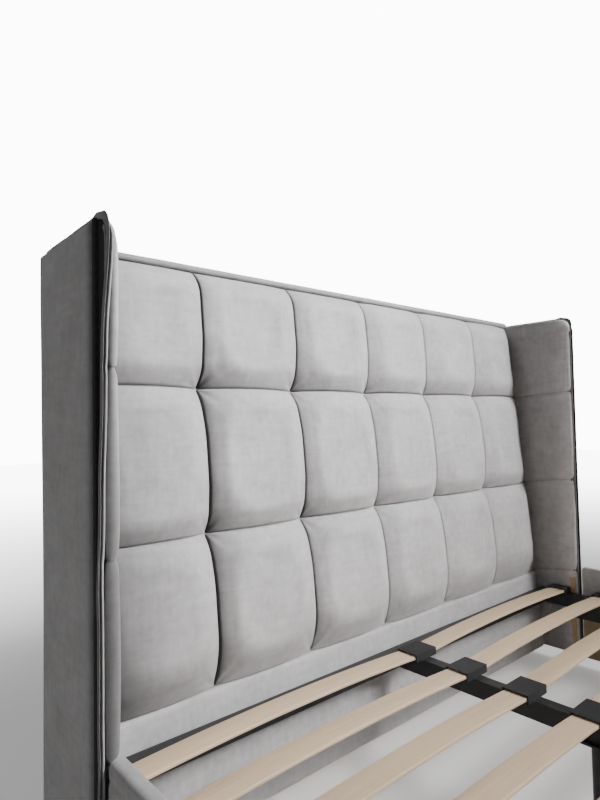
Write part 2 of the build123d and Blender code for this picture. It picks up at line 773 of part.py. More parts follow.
leg_bottom = pad_thickness + stop_gap
with BuildPart() as centre_leg_tubes:
    for y in leg_ys:
        with BuildSketch(Plane.XY.offset(leg_bottom)) as ring:
            with Locations((0, y)):
                Circle(leg_radius)
                Circle(leg_radius - leg_wall, mode=Mode.SUBTRACT)
        extrude(amount=plate_bottom - leg_bottom)
centre_leg_tubes.part.label = "centre_leg_tubes"
export_step(centre_leg_tubes.part, "parts/centre_leg_tubes.step")

with BuildPart() as centre_leg_plates:
    for y in leg_ys:
        block((-leg_plate_width / 2, leg_plate_width / 2), (y - leg_plate_length / 2, y + leg_plate_length / 2),
              (plate_bottom, angle_height))
    fillet(centre_leg_plates.edges().filter_by(Axis.Z), radius=leg_plate_thickness)
    bolt_holes(plate_bolt_planes(), leg_plate_thickness)
centre_leg_plates.part.label = "centre_leg_plates"
export_step(centre_leg_plates.part, "parts/centre_leg_plates.step")

with BuildPart() as plate_bolts:
    for plane in plate_bolt_planes():
        hex_bolt(plane, leg_plate_thickness + bolt_bite)
plate_bolts.part.label = "plate_bolts"
export_step(plate_bolts.part, "parts/plate_bolts.step")

with BuildPart() as leg_inserts:
    for y in leg_ys:
        with BuildSketch(Plane.XY.offset(leg_bottom)) as ring:
            with Locations((0, y)):
                Circle(leg_radius - leg_wall)
                Circle(stem_radius + stem_fit, mode=Mode.SUBTRACT)
        extrude(amount=insert_height)
leg_inserts.part.label = "leg_inserts"
export_step(leg_inserts.part, "parts/leg_inserts.step")

for number, y in enumerate(leg_ys, start=1):
    with BuildPart() as centre_foot:
        with BuildSketch(Plane.XY) as pad:
            with Locations((0, y)):
                Circle(pad_radius)
        extrude(amount=pad_thickness)
        fillet(centre_foot.edges(), radius=pad_round)
        with BuildSketch(Plane.XY.offset(pad_thickness)) as stem:
            with Locations((0, y)):
                Circle(stem_radius)
        extrude(amount=stem_length)
    centre_foot.part.label = f"centre_foot_{number}"
    export_step(centre_foot.part, f"parts/centre_foot_{number}.step")

# Slats, bowed upwards, and the plastic holders at their ends

holder_outer = tube_outer - holder_inset
pocket_outer = holder_outer - holder_end_wall
slat_outer = pocket_outer - slat_end_fit
centre_holder_half = pocket_depth + holder_end_wall
slat_inner = holder_end_wall + slat_end_fit
pocket_height = slat_thickness + 2 * slat_fit + pocket_slack
holder_height = 2 * holder_wall + pocket_height
holder_half = slat_width / 2 + slat_fit + holder_wall
slat_head_y = frame_head_y - slat_head_margin
slat_foot_y = frame_foot_y + slat_foot_margin
slat_ys = [slat_foot_y + (slat_head_y - slat_foot_y) * step / (slats_per_side - 1)
           for step in range(slats_per_side)]
pocket_low = tube_top + holder_wall
pocket_high = pocket_low + pocket_height

for side, hand in ((-1, "left"), (1, "right")):
    with BuildPart() as slats:
        ends = (side * slat_inner, side * slat_outer)
        middle = (slat_inner + slat_outer) / 2 * side
        for y in slat_ys:
            with BuildSketch(Plane.XZ.offset(-y - slat_width / 2)) as profile:
                with BuildLine():
                    ThreePointArc((ends[0], slat_bottom), (middle, slat_bottom + slat_camber),
                                  (ends[1], slat_bottom))
                    Line((ends[1], slat_bottom), (ends[1], slat_bottom + slat_thickness))
                    ThreePointArc((ends[1], slat_bottom + slat_thickness), (middle, slat_top),
                                  (ends[0], slat_bottom + slat_thickness))
                    Line((ends[0], slat_bottom + slat_thickness), (ends[0], slat_bottom))
                make_face()
            extrude(amount=slat_width)
    slats.part.label = f"{hand}_slats"
    export_step(slats.part, f"parts/{hand}_slats.step")

    with BuildPart() as slat_holders:
        for y in slat_ys:
            block((side * (pocket_outer - pocket_depth), side * holder_outer),
                  (y - holder_half, y + holder_half), (tube_top, tube_top + holder_height))
            block((side * (pocket_outer - pocket_depth), side * pocket_outer),
                  (y - holder_half + holder_wall, y + holder_half - holder_wall),
                  (pocket_low, pocket_high), mode=Mode.SUBTRACT)
    slat_holders.part.label = f"{hand}_slat_holders"
    export_step(slat_holders.part, f"parts/{hand}_slat_holders.step")

with BuildPart() as centre_slat_holders:
    for y in slat_ys:
        block((-centre_holder_half, centre_holder_half), (y - holder_half, y + holder_half),
              (tube_top, tube_top + holder_height))
        for side in (-1, 1):
            block((side * holder_end_wall, side * centre_holder_half),
                  (y - holder_half + holder_wall, y + holder_half - holder_wall),
                  (pocket_low, pocket_high), mode=Mode.SUBTRACT)
centre_slat_holders.part.label = "centre_slat_holders"
export_step(centre_slat_holders.part, "parts/centre_slat_holders.step")
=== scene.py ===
"""Looks of the upholstered bed: velvet tiles, wings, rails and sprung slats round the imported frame."""

import math
import random

import bmesh
import bpy
from mathutils import Matrix, Vector, noise


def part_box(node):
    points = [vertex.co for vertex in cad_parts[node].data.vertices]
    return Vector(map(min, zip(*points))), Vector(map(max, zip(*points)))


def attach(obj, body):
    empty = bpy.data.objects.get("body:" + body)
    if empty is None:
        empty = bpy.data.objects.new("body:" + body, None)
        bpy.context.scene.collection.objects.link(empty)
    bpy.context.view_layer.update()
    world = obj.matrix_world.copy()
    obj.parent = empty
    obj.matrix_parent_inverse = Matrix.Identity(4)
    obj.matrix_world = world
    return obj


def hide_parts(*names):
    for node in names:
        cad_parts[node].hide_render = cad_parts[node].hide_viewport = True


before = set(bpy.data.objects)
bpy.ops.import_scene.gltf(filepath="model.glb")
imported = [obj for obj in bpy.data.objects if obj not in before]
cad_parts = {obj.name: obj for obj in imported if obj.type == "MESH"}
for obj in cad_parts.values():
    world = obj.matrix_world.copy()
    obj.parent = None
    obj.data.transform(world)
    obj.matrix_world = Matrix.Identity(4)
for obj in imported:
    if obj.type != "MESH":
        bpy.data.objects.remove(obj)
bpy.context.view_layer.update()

scene = bpy.context.scene


# Camera
# It stands beside the bed at sitting height and looks across the slats to the headboard, as a
# photographer's camera on a low tripod does.
camera_place = Vector((-1.1948, -0.0687, 0.8454))
camera_yaw = math.radians(40.79)
camera_pitch = math.radians(2.19)
camera_roll = math.radians(-1.02)
focal_pixels = 575.3
photo_height = 800
sensor_width = 36.0

forward = Vector((math.sin(camera_yaw) * math.cos(camera_pitch),
                  math.cos(camera_yaw) * math.cos(camera_pitch),
                  math.sin(camera_pitch)))
level_right = Vector((math.cos(camera_yaw), -math.sin(camera_yaw), 0))
level_up = level_right.cross(forward)
right = math.cos(camera_roll) * level_right + math.sin(camera_roll) * level_up
up = math.cos(camera_roll) * level_up - math.sin(camera_roll) * level_right
camera_data = bpy.data.cameras.new("camera")
camera_data.sensor_width = sensor_width
camera_data.lens = focal_pixels / photo_height * sensor_width
camera_data.clip_start = 0.01
camera = bpy.data.objects.new("camera", camera_data)
camera.matrix_world = Matrix.Translation(camera_place) @ Matrix((right, up, -forward)).transposed().to_4x4()
scene.collection.objects.link(camera)
scene.camera = camera


# Floor and light
# A pale floor that fades into a white room, one high soft box with a grid that falls off towards the
# floor, and an open one on the right, so what faces left stays darker than the headboard's face.
floor_half = 14.0
floor_colour = (0.86, 0.86, 0.855, 1)
floor_roughness = 0.7
floor_glow_near = 0.25
floor_glow_far = 9.0
floor_fade_start = 1.8
floor_fade_end = 9.0
white = (1, 1, 1, 1)
room_light = 0.20
room_white = 12.0
box_size = 1.6


def soft_box(name, place, target, watts, spread):
    """Square area light with a grid, at a place and turned to its target."""
    data = bpy.data.lights.new(name, "AREA")
    data.shape = "SQUARE"
    data.size = box_size
    data.energy = watts
    data.spread = math.radians(spread)
    box = bpy.data.objects.new(name, data)
    box.location = place
    box.rotation_euler = (Vector(target) - Vector(place)).to_track_quat("-Z", "Y").to_euler()
    scene.collection.objects.link(box)


def new_node(tree, kind, inputs=None, **settings):
    """New node in a tree; each of its inputs gets a value, or another node's output linked to it."""
    node = tree.nodes.new(kind)
    for name, value in settings.items():
        setattr(node, name, value)
    for socket, value in (inputs or {}).items():
        if isinstance(value, bpy.types.NodeSocket):
            tree.links.new(value, node.inputs[socket])
        else:
            node.inputs[socket].default_value = value
    return node


soft_box("soft_box_high", (1.6, -2.4, 3.6), (-0.2, 1.0, 1.32), watts=33, spread=35)
soft_box("soft_box_right", (2.6, -2.4, 2.5), (0.0, 1.0, 0.9), watts=80, spread=180)

floor_material = bpy.data.materials.new("pale_floor")
floor_material.use_nodes = True
floor_tree = floor_material.node_tree
floor_place = new_node(floor_tree, "ShaderNodeTexCoord")
floor_distance = new_node(floor_tree, "ShaderNodeVectorMath", {0: floor_place.outputs["Object"]},
                          operation="LENGTH")
floor_fade = new_node(floor_tree, "ShaderNodeMapRange", {
    "Value": floor_distance.outputs["Value"], "From Min": floor_fade_start, "From Max": floor_fade_end,
    "To Min": floor_glow_near, "To Max": floor_glow_far}, interpolation_type="SMOOTHSTEP")
floor_seen = new_node(floor_tree, "ShaderNodeLightPath")
floor_glow = new_node(floor_tree, "ShaderNodeMath", {
    0: floor_seen.outputs["Is Camera Ray"], 1: floor_fade.outputs["Result"]}, operation="MULTIPLY")
floor_shader = floor_tree.nodes["Principled BSDF"]
floor_shader.inputs["Base Color"].default_value = floor_colour
floor_shader.inputs["Roughness"].default_value = floor_roughness
floor_shader.inputs["Emission Color"].default_value = white
floor_tree.links.new(floor_glow.outputs[0], floor_shader.inputs["Emission Strength"])
floor_mesh = bpy.data.meshes.new("floor")
floor_mesh.from_pydata([(-floor_half, -floor_half, 0), (floor_half, -floor_half, 0),
                        (floor_half, floor_half, 0), (-floor_half, floor_half, 0)], [], [(0, 1, 2, 3)])
floor_mesh.materials.append(floor_material)
floor = bpy.data.objects.new("floor", floor_mesh)
scene.collection.objects.link(floor)

world = bpy.data.worlds.new("white_room")
world.use_nodes = True
scene.world = world
room_tree = world.node_tree
room_seen = new_node(room_tree, "ShaderNodeLightPath")
room_strength = new_node(room_tree, "ShaderNodeMapRange", {
    "Value": room_seen.outputs["Is Camera Ray"], "To Min": room_light, "To Max": room_white})
background = room_tree.nodes["Background"]
background.inputs["Color"].default_value = white
room_tree.links.new(room_strength.outputs["Result"], background.inputs["Strength"])


# Headboard tiles
# One velvet cover of six by three sewn tiles over foam on the leaning board. The seams are pulled down
# to the board where they cross, bow out between the crossings and draw a fine dark line, cut into the foam
# and darkened beside it with painted shade.
tile_columns = 6
tile_rows = 3
face_lean = math.radians(5.5)
crest = 0.054
edge_share = 0.74
seam_shares = (
    (0.14, 0.22, 0.37, 0.46, 0.45),
    (0.33, 0.29, 0.42, 0.48, 0.46),
    (0.33, 0.30, 0.42, 0.47, 0.46),
)
seam_share_change = 0.1
level_seam_share = 0.40
slope_reach = 3.4
level_reach = 2.6
least_reach = 0.070
top_reach_share = 0.6
dimple_reach = 0.118
pit_reach = 0.048
pit_share = 0.42
tuft_fold = 0.0013
tuft_fold_count = 7
tuft_fold_start = 0.02
tuft_fold_reach = 0.05
seam_cut = 0.0055
seam_half_width = 0.0026
groove_cut = 0.015
groove_half_width = 0.0055
groove_rise = 0.0038
tile_swell = 0.0025
least_cover = 0.0006
least_foam = 0.0012
seam_ladder = (0.0, 0.0011, 0.0024, 0.005, 0.009, 0.014, 0.020, 0.028, 0.038, 0.050, 0.064, 0.080, 0.098,
               0.116)
ladder_share = 0.93
held_width = 0.045
cover_frames = 16
cover_cap = 0.003
cover_slack = 0.005
cloth_settings = {
    "quality": 6, "mass": 0.3, "air_damping": 4, "tension_stiffness": 18, "compression_stiffness": 18,
    "shear_stiffness": 6, "bending_stiffness": 0.8, "use_pressure": True, "uniform_pressure_force": 0.3,
    "shrink_min": -cover_slack, "shrink_max": -cover_slack, "vertex_group_mass": "held",
}
# Painted light and shade on the velvet: the tone at full painted shade, and the limits of the share between
# painted highlight and painted shade.
darkest_painted_shade_tone = 0.16
most_shine = -1.2
most_dusk = 1.12
# Painted shade and highlight on the tiles: slopes to the left and below, beside the seams, at their
# crossings, just above the level seams, beside the left wing and in the groove under the lip get painted
# shade; the left slopes of the right columns get painted highlight.
left_slope_painted_light = (0.30, 1.00, 0.60, 0.05, -0.40, -0.45)
low_slope_painted_shade = 0.55
crossing_shade_reach = 0.026
crossing_shade_right = 0.85
crossing_shade_left = 0.3
crossing_shade_below = 0.5
above_seam_shade = 0.42
above_seam_shade_reach = 0.012
beside_seam_shade = (0.55, 0.36, 0.12, 0.04, 0.03)
beside_seam_shade_reach = 0.034
beside_wing_reach = 0.25
beside_wing_dusk = 0.30
beside_wing_start = 0.6
beside_wing_rise = 3.2
groove_dusk = 0.95
groove_dusk_reach = 0.006
velvet_look = {"Sheen Weight": 0.45, "Sheen Roughness": 0.45, "Sheen Tint": (1, 0.99, 0.98, 1),
               "Specular IOR Level": 0.15}


def texture_group(name, noises, shade, height):
    """Shader group of noises, each with its turns for each metre, its detail and, if any, its stretch.

    Shade is 1 and Height is 0.5, moved by the noises' distance from their middle times a weight."""
    group = bpy.data.node_groups.new(name, "ShaderNodeTree")
    group.interface.new_socket("Vector", in_out="INPUT", socket_type="NodeSocketVector")
    group.interface.new_socket("Scale", in_out="INPUT", socket_type="NodeSocketFloat")
    for output in ("Shade", "Height"):
        group.interface.new_socket(output, in_out="OUTPUT", socket_type="NodeSocketFloat")
    start = group.nodes.new("NodeGroupInput")
    end = group.nodes.new("NodeGroupOutput")
    made = {}
    for part, (turns, detail, *stretch) in noises.items():
        place = new_node(group, "ShaderNodeMapping", {
            "Vector": start.outputs["Vector"], "Scale": [value * turns for value in stretch or (1, 1, 1)]})
        made[part] = new_node(group, "ShaderNodeTexNoise", {
            "Vector": place.outputs["Vector"], "Scale": start.outputs["Scale"], "Detail": detail})
    for output, middle, weights in (("Shade", 1.0, shade), ("Height", 0.5, height)):
        total = middle - sum(weights.values()) / 2
        for part, weight in weights.items():
            total = new_node(group, "ShaderNodeMath", {
                0: made[part].outputs["Fac"], 1: weight, 2: total}, operation="MULTIPLY_ADD").outputs[0]
        group.links.new(total, end.inputs[output])
    return group


def textured_material(name, colour, group, scale, roughness, bump, distance, look):
    """Material whose colour, roughness and bump come from one of the texture groups."""
    material = bpy.data.materials.new(name)
    material.use_nodes = True
    tree = material.node_tree
    shader = tree.nodes["Principled BSDF"]
    place = new_node(tree, "ShaderNodeTexCoord")
    texture = new_node(tree, "ShaderNodeGroup", {"Vector": place.outputs["Object"], "Scale": scale},
                       node_tree=group)
    shade = texture.outputs["Shade"]
    tint = new_node(tree, "ShaderNodeMix", {0: 1, 6: (*colour, 1), 7: shade}, data_type="RGBA",
                    blend_type="MULTIPLY")
    rough = new_node(tree, "ShaderNodeMath", {0: shade, 1: roughness}, operation="MULTIPLY")
    relief = new_node(tree, "ShaderNodeBump", {
        "Height": texture.outputs["Height"], "Strength": bump, "Distance": distance})
    tree.links.new(tint.outputs[2], shader.inputs["Base Color"])
    tree.links.new(rough.outputs[0], shader.inputs["Roughness"])
    tree.links.new(relief.outputs["Normal"], shader.inputs["Normal"])
    for socket, value in look.items():
        shader.inputs[socket].default_value = value
    return material


def part_of(material, kind):
    """The one node of a kind in a textured material."""
    return next(node for node in material.node_tree.nodes if node.type == kind)


def tone(material, share):
    """Multiply a textured material's shade by one more output."""
    tree = material.node_tree
    both = new_node(tree, "ShaderNodeMath", {0: part_of(material, "GROUP").outputs["Shade"], 1: share},
                    operation="MULTIPLY")
    tree.links.new(both.outputs[0], part_of(material, "MIX").inputs[7])


pile = texture_group(
    "brushed_pile",
    {"clouds": (11, 3), "upright": (120, 2, 1, 1, 0.10), "level": (120, 2, 0.10, 0.10, 1),
     "mottling": (60, 4), "fibres": (1500, 1)},
    {"clouds": 0.40, "upright": 0.22, "level": 0.22, "mottling": 0.40, "fibres": 0.20},
    {"fibres": 0.7, "mottling": 0.9})
velvet = textured_material("grey_velvet", (0.42, 0.410, 0.413), pile, 1.0, 0.9, 0.35, 0.0006, velvet_look)
# The velvet's colour is multiplied by a stored share on each point: painted shade above 0, painted highlight
# below 0.
painted_light_and_shade = new_node(velvet.node_tree, "ShaderNodeAttribute", attribute_name="painted_light_and_shade")
painted_light_tone = new_node(velvet.node_tree, "ShaderNodeMapRange", {
    "Value": painted_light_and_shade.outputs["Fac"], "To Min": 1, "To Max": darkest_painted_shade_tone}, clamp=False)
tone(velvet, painted_light_tone.outputs["Result"])


def paint_light_and_shade(piece, share):
    """Store the painted light and shade on each point: 1 is full painted shade, and below 0 is painted
    highlight.
    """
    stored = piece.data.attributes.new("painted_light_and_shade", "FLOAT", "POINT")
    shares = [share(vertex.co, vertex.normal) for vertex in piece.data.vertices]
    stored.data.foreach_set("value", [min(most_dusk, max(most_shine, value)) for value in shares])


def limited(value):
    """A value held between 0 and 1."""
    return min(1, max(0, value))


def eased(value):
    """A value held between 0 and 1, with a slow start and end."""
    share = limited(value)
    return share * share * (3 - 2 * share)


def wavy(x, y, z):
    """Smooth noise at a place, from -1 to 1."""
    return noise.noise(Vector((x, y, z)))


def add_smoothing(piece, levels):
    """Subdivision on a piece, the same in the view and in the render."""
    smoothing = piece.modifiers.new("smoothing", "SUBSURF")
    smoothing.levels = levels
    smoothing.render_levels = levels
    return smoothing


def mesh_object(name, points, faces, material, levels=0):
    """Smooth mesh object at the origin, with doubles merged and its faces turned outwards."""
    mesh = bpy.data.meshes.new(name)
    mesh.from_pydata([tuple(point) for point in points], [], faces)
    shell = bmesh.new()
    shell.from_mesh(mesh)
    bmesh.ops.remove_doubles(shell, verts=shell.verts, dist=1e-6)
    bmesh.ops.recalc_face_normals(shell, faces=shell.faces)
    shell.to_mesh(mesh)
    shell.free()
    mesh.polygons.foreach_set("use_smooth", [True] * len(mesh.polygons))
    mesh.materials.append(material)
    piece = bpy.data.objects.new(name, mesh)
    scene.collection.objects.link(piece)
    if levels:
        add_smoothing(piece, levels)
    return piece


def seam_grid(seams, ladder):
    """Places over a run of seams, one on each seam and close together beside it."""
    places = []
    for start, end in zip(seams, seams[1:]):
        half = (end - start) / 2
        steps = [step for step in ladder if step < half * ladder_share]
        places += [start + step for step in steps] + [start + half]
        places += [end - step for step in reversed(steps) if step > 0]
    return places + [seams[-1]]


board_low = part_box("headboard_board")[0]
upper_low, upper_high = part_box("headboard_upper_tiles")
lip_low, lip_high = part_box("headboard_top_flange")
face_half = upper_high[0]
column_width = 2 * face_half / tile_columns
column_seams = [-face_half + column * column_width for column in range(tile_columns + 1)]
row_seams = [lip_low[2] + groove_rise, upper_low[2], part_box("headboard_middle_tiles")[0][2],
             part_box("headboard_lower_tiles")[0][2]]
crossings = [(column, row) for column in range(1, tile_columns) for row in range(1, tile_rows + 1)]
lean_normal = Vector((0, -math.cos(face_lean), math.sin(face_lean)))


def board_front(height):
    """Front surface of the leaning board at a height."""
    return board_low[1] + (height - board_low[2]) * math.tan(face_lean)


def seam_share(column, height):
    """How deep a standing seam lies in the foam at a height, as a share of the crest."""
    values = [row[column] for row in seam_shares]
    share = values[0]
    for seam, below in zip(row_seams[1:3], values[1:]):
        share += (below - share) * eased((seam + seam_share_change / 2 - height) / seam_share_change)
    return share


def fall(distance, reach):
    """1 on a seam, falling to 0 where the foam is full again."""
    return max(0.0, 1 - abs(distance) / reach) ** 2


def tile_height(x, z, row, column, folds):
    """How far the cover stands in front of the board."""
    kept = 1.0
    for seam in (column, column + 1):
        share = seam_share(seam - 1, z) if 0 < seam < tile_columns else edge_share
        kept *= 1 - share * fall(x - column_seams[seam], max(least_reach, slope_reach * share * crest))
    for seam in (row, row + 1):
        share = edge_share if seam in (0, tile_rows) else level_seam_share
        reach = level_reach * share * crest * (top_reach_share if seam == 0 else 1)
        kept *= 1 - share * fall(z - row_seams[seam], reach)
    across = (x - column_seams[column]) / column_width
    along = (row_seams[row] - z) / (row_seams[row] - row_seams[row + 1])
    window = math.sin(math.pi * across) * math.sin(math.pi * along)
    height = crest * kept + tile_swell * folds[(row, column, "swell")] * window
    for seam_x, seam_z in crossings:
        dx = x - column_seams[seam_x]
        dz = z - row_seams[seam_z]
        reach = math.hypot(dx, dz)
        if reach > dimple_reach:
            continue
        level = edge_share if seam_z == tile_rows else level_seam_share
        depth = crest * (1 - seam_share(seam_x - 1, row_seams[seam_z])) * (1 - level)
        height -= (1 - pit_share) * depth * (1 - (reach / dimple_reach) ** 2) ** 2
        height -= pit_share * depth * max(0, 1 - reach / pit_reach) ** 2
        fold = math.sin(tuft_fold_count * math.atan2(dz, dx) + folds[(seam_x, seam_z, "turn")])
        fade = min(1, reach / tuft_fold_start) * math.exp(-(reach / tuft_fold_reach) ** 2)
        height += tuft_fold * fold * fade
    return max(least_foam, height)


def tile_cover():
    """Points and faces of the cover's open front, with its seams cut in."""
    random.seed(7)
    folds = {(row, column, "swell"): random.uniform(-1, 1)
             for row in range(tile_rows) for column in range(tile_columns)}
    for crossing in crossings:
        folds[(*crossing, "turn")] = random.uniform(0, math.tau)
    xs = seam_grid(column_seams, seam_ladder)
    zs = seam_grid(row_seams[::-1], seam_ladder)
    points = []
    for z in zs:
        row = max(index for index in range(tile_rows) if row_seams[index] >= z - 1e-9)
        for x in xs:
            column = min(tile_columns - 1, int((x - column_seams[0]) / column_width + 1e-6))
            height = tile_height(x, z, row, column, folds)
            for gap in ([x - seam for seam in column_seams[1:-1]] + [z - seam for seam in row_seams[1:-1]]):
                height -= seam_cut * max(0, 1 - abs(gap) / seam_half_width)
            height -= groove_cut * max(0, 1 - (row_seams[0] - z) / groove_half_width) ** 1.6
            points.append(Vector((x, board_front(z), z)) + lean_normal * max(least_cover, height))
    faces = []
    for row in range(len(zs) - 1):
        for column in range(len(xs) - 1):
            corner = row * len(xs) + column
            faces.append((corner, corner + 1, corner + len(xs) + 1, corner + len(xs)))
    return points, faces


def evaluated(piece):
    """The piece as its modifiers leave it."""
    return piece.evaluated_get(bpy.context.evaluated_depsgraph_get())


def held_by_seams(place):
    """1 on the seams and borders, falling off beside them."""
    to_level = min(abs(place.z - seam) for seam in row_seams)
    to_upright = min(abs(place.x - seam) for seam in column_seams)
    return limited(1 - (min(to_level, to_upright) - seam_half_width) / held_width)


def settle_cover(piece):
    """Let the cover find its own creases between its held points, and cap how far it may move."""
    group = piece.vertex_groups.new(name="held")
    for vertex in piece.data.vertices:
        group.add([vertex.index], held_by_seams(vertex.co), "REPLACE")
    before = [vertex.co.copy() for vertex in piece.data.vertices]
    cloth = piece.modifiers.new("cloth", "CLOTH")
    for name, value in cloth_settings.items():
        setattr(cloth.settings, name, value)
    cloth.settings.effector_weights.gravity = 0
    cloth.point_cache.frame_start = 1
    cloth.point_cache.frame_end = cover_frames
    for moment in range(1, cover_frames + 1):
        scene.frame_set(moment)
    moves = [vertex.co - start for vertex, start in zip(evaluated(piece).to_mesh().vertices, before)]
    evaluated(piece).to_mesh_clear()
    piece.modifiers.clear()
    piece.vertex_groups.clear()
    for vertex, start, move in zip(piece.data.vertices, before, moves):
        if move.length > cover_cap:
            move = move * (cover_cap / move.length)
        vertex.co = start + move
    scene.frame_set(1)


def smooth_cover(piece):
    """Put the cover's mesh through one round of subdivision and keep the result."""
    add_smoothing(piece, 1).boundary_smooth = "PRESERVE_CORNERS"
    mesh = bpy.data.meshes.new_from_object(evaluated(piece))
    piece.modifiers.clear()
    old_mesh = piece.data
    piece.data = mesh
    bpy.data.meshes.remove(old_mesh)


def close_cover(piece):
    """Run the cover's open rim back to the board and fill it in."""
    shell = bmesh.new()
    shell.from_mesh(piece.data)
    walls = bmesh.ops.extrude_edge_only(shell, edges=[edge for edge in shell.edges if edge.is_boundary])
    for vertex in (item for item in walls["geom"] if isinstance(item, bmesh.types.BMVert)):
        vertex.co.y = board_front(vertex.co.z) - 0.0002
    bmesh.ops.contextual_create(shell, geom=[edge for edge in shell.edges if edge.is_boundary])
    bmesh.ops.recalc_face_normals(shell, faces=shell.faces)
    shell.to_mesh(piece.data)
    shell.free()


def tile_painted_light(place, normal):
    """Painted shade on slopes to the left and below, beside the seams, at their crossings, just above the
    level seams, beside the left wing and in the groove under the lip, and painted highlight on the right
    columns' left slopes."""
    column = min(tile_columns - 1, max(0, int((place.x - column_seams[0]) / column_width)))
    slope_painted_light = left_slope_painted_light[column] * max(0.0, -normal.x) + low_slope_painted_shade * max(0.0, lean_normal.z - normal.z)
    share = max(0.0, slope_painted_light)
    for seam_x, seam_z in crossings:
        dx = place.x - column_seams[seam_x]
        dz = place.z - row_seams[seam_z]
        crossing_shade = (crossing_shade_right if dx > 0 else crossing_shade_left) * (1.1 - 0.1 * seam_x)
        crossing_shade *= crossing_shade_below if dz < 0 else 1
        share = max(share, crossing_shade * math.exp(-((dx * dx + dz * dz) ** 0.5 / crossing_shade_reach) ** 1.5))
    for seam in row_seams[1:]:
        above = place.z - seam
        if 0 <= above < above_seam_shade_reach:
            share = max(share, above_seam_shade * (1 - above / above_seam_shade_reach) ** 1.4)
    for seam, amount in zip(column_seams[1:-1], beside_seam_shade):
        beyond = place.x - seam
        if 0 <= beyond < beside_seam_shade_reach:
            share = max(share, slope_painted_light + amount * (1 - beyond / beside_seam_shade_reach) ** 2)
    from_wing = (place.x - column_seams[0]) / beside_wing_reach
    if from_wing < 1:
        lower = (row_seams[0] - place.z) / (row_seams[0] - row_seams[-1])
        dusk = beside_wing_dusk * (beside_wing_start + beside_wing_rise * lower)
        share = max(share, slope_painted_light + dusk * (1 - max(0.0, from_wing)) ** 1.5)
    top_gap = row_seams[0] - place.z
    return max(share, groove_dusk * max(0, 1 - top_gap / groove_dusk_reach)) + min(0.0, slope_painted_light)


tiles = mesh_object("headboard_tiles", *tile_cover(), velvet)
settle_cover(tiles)
smooth_cover(tiles)
close_cover(tiles)
paint_light_and_shade(tiles, tile_painted_light)
tiles.data.polygons.foreach_set("use_smooth", [True] * len(tiles.data.polygons))
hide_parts("headboard_upper_tiles", "headboard_middle_tiles", "headboard_lower_tiles")
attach(tiles, "bed_frame")


# Standing lip along the headboard's top
# The tile cover and the top cover are sewn into a soft double edge that stands up all along the top,
# with a short cross seam at every column.
lip_step = 0.006
lip_wave = 0.0006
lip_seam = 0.0016
lip_seam_reach = 0.002
lip_pinch = 0.3
lip_round_shares = (
    (0.70, 0.02), (0.52, 0.13), (0.24, 0.22), (0.05, 0.36), (0.00, 0.54), (0.05, 0.74), (0.16, 0.90),
    (0.32, 0.99), (0.44, 0.96), (0.50, 0.82), (0.56, 0.96), (0.68, 1.00), (0.84, 0.90), (0.96, 0.70),
    (1.00, 0.45), (0.98, 0.20), (0.90, 0.00),
)
lip_depth = 0.0100
lip_solid_depth = 0.007
lip_end = 0.012
lip_end_share = 0.45
# Painted shade on the lip: a little all over, more on its underside and more towards its left end.
lip_dusk = 0.22
lip_low_dusk = 0.73
lip_low_share = 0.62
lip_left_dusk = 0.20


def sweep(name, rings, material, levels=0):
    """Closed tube through rings of equal length, with both ends filled."""
    count = len(rings[0])
    points = [point for ring in rings for point in ring]
    faces = []
    for start in range(0, len(points) - count, count):
        for index in range(count):
            following = (index + 1) % count
            faces.append((start + index, start + following, start + count + following, start + count + index))
    faces.append(tuple(range(count)))
    faces.append(tuple(range(len(points) - count, len(points))))
    return mesh_object(name, points, faces, material, levels)


lip_middle = lip_low[1] - (lip_depth - lip_solid_depth) / 2 + lip_depth / 2
lip_half = lip_high[0]
lip_height = lip_high[2] - lip_low[2]
lip_steps = round(2 * lip_half / lip_step)
rings = []
for step in range(lip_steps + 1):
    x = -lip_half + 2 * lip_half * step / lip_steps
    wave = lip_wave * wavy(x * 9, 0, 3) * 2
    rise = math.sqrt(max(0.0, 1 - (max(0.0, lip_end - lip_half + abs(x)) / lip_end) ** 2))
    pinch = sum(math.exp(-((x - seam) / lip_seam_reach) ** 2) for seam in column_seams[1:-1])
    height = (lip_height + wave) * (lip_end_share + (1 - lip_end_share) * rise) - lip_seam * pinch
    depth = lip_depth * (1 - lip_pinch * min(1, pinch))
    rings.append([(x, lip_middle + wave + (across - 0.5) * depth, lip_low[2] + share * height)
                  for across, share in lip_round_shares])
lip = sweep("headboard_lip", rings, velvet, 1)


def lip_shade(place, normal):
    """Painted shade on the lip: a little all over, more on its underside and towards its left end."""
    low_share = max(0, 1 - (place.z - lip_low[2]) / (lip_low_share * lip_height))
    left_share = limited((lip_half * 0.1 - place.x) / lip_half)
    return lip_dusk + lip_low_dusk * low_share + lip_left_dusk * left_share


paint_light_and_shade(lip, lip_shade)
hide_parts("headboard_top_flange")
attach(lip, "bed_frame")


# Padding and covers made on a box of cuts
# Wing padding, wing covers, the plain pad below the tiles and the back cloth are foam or board inside
# a velvet or cloth cover, so their edges are drawn round and their faces swell a little.
round_shares = (0, 0.12, 0.28, 0.5, 0.75)
sides = ((-1, "left"), (1, "right"))


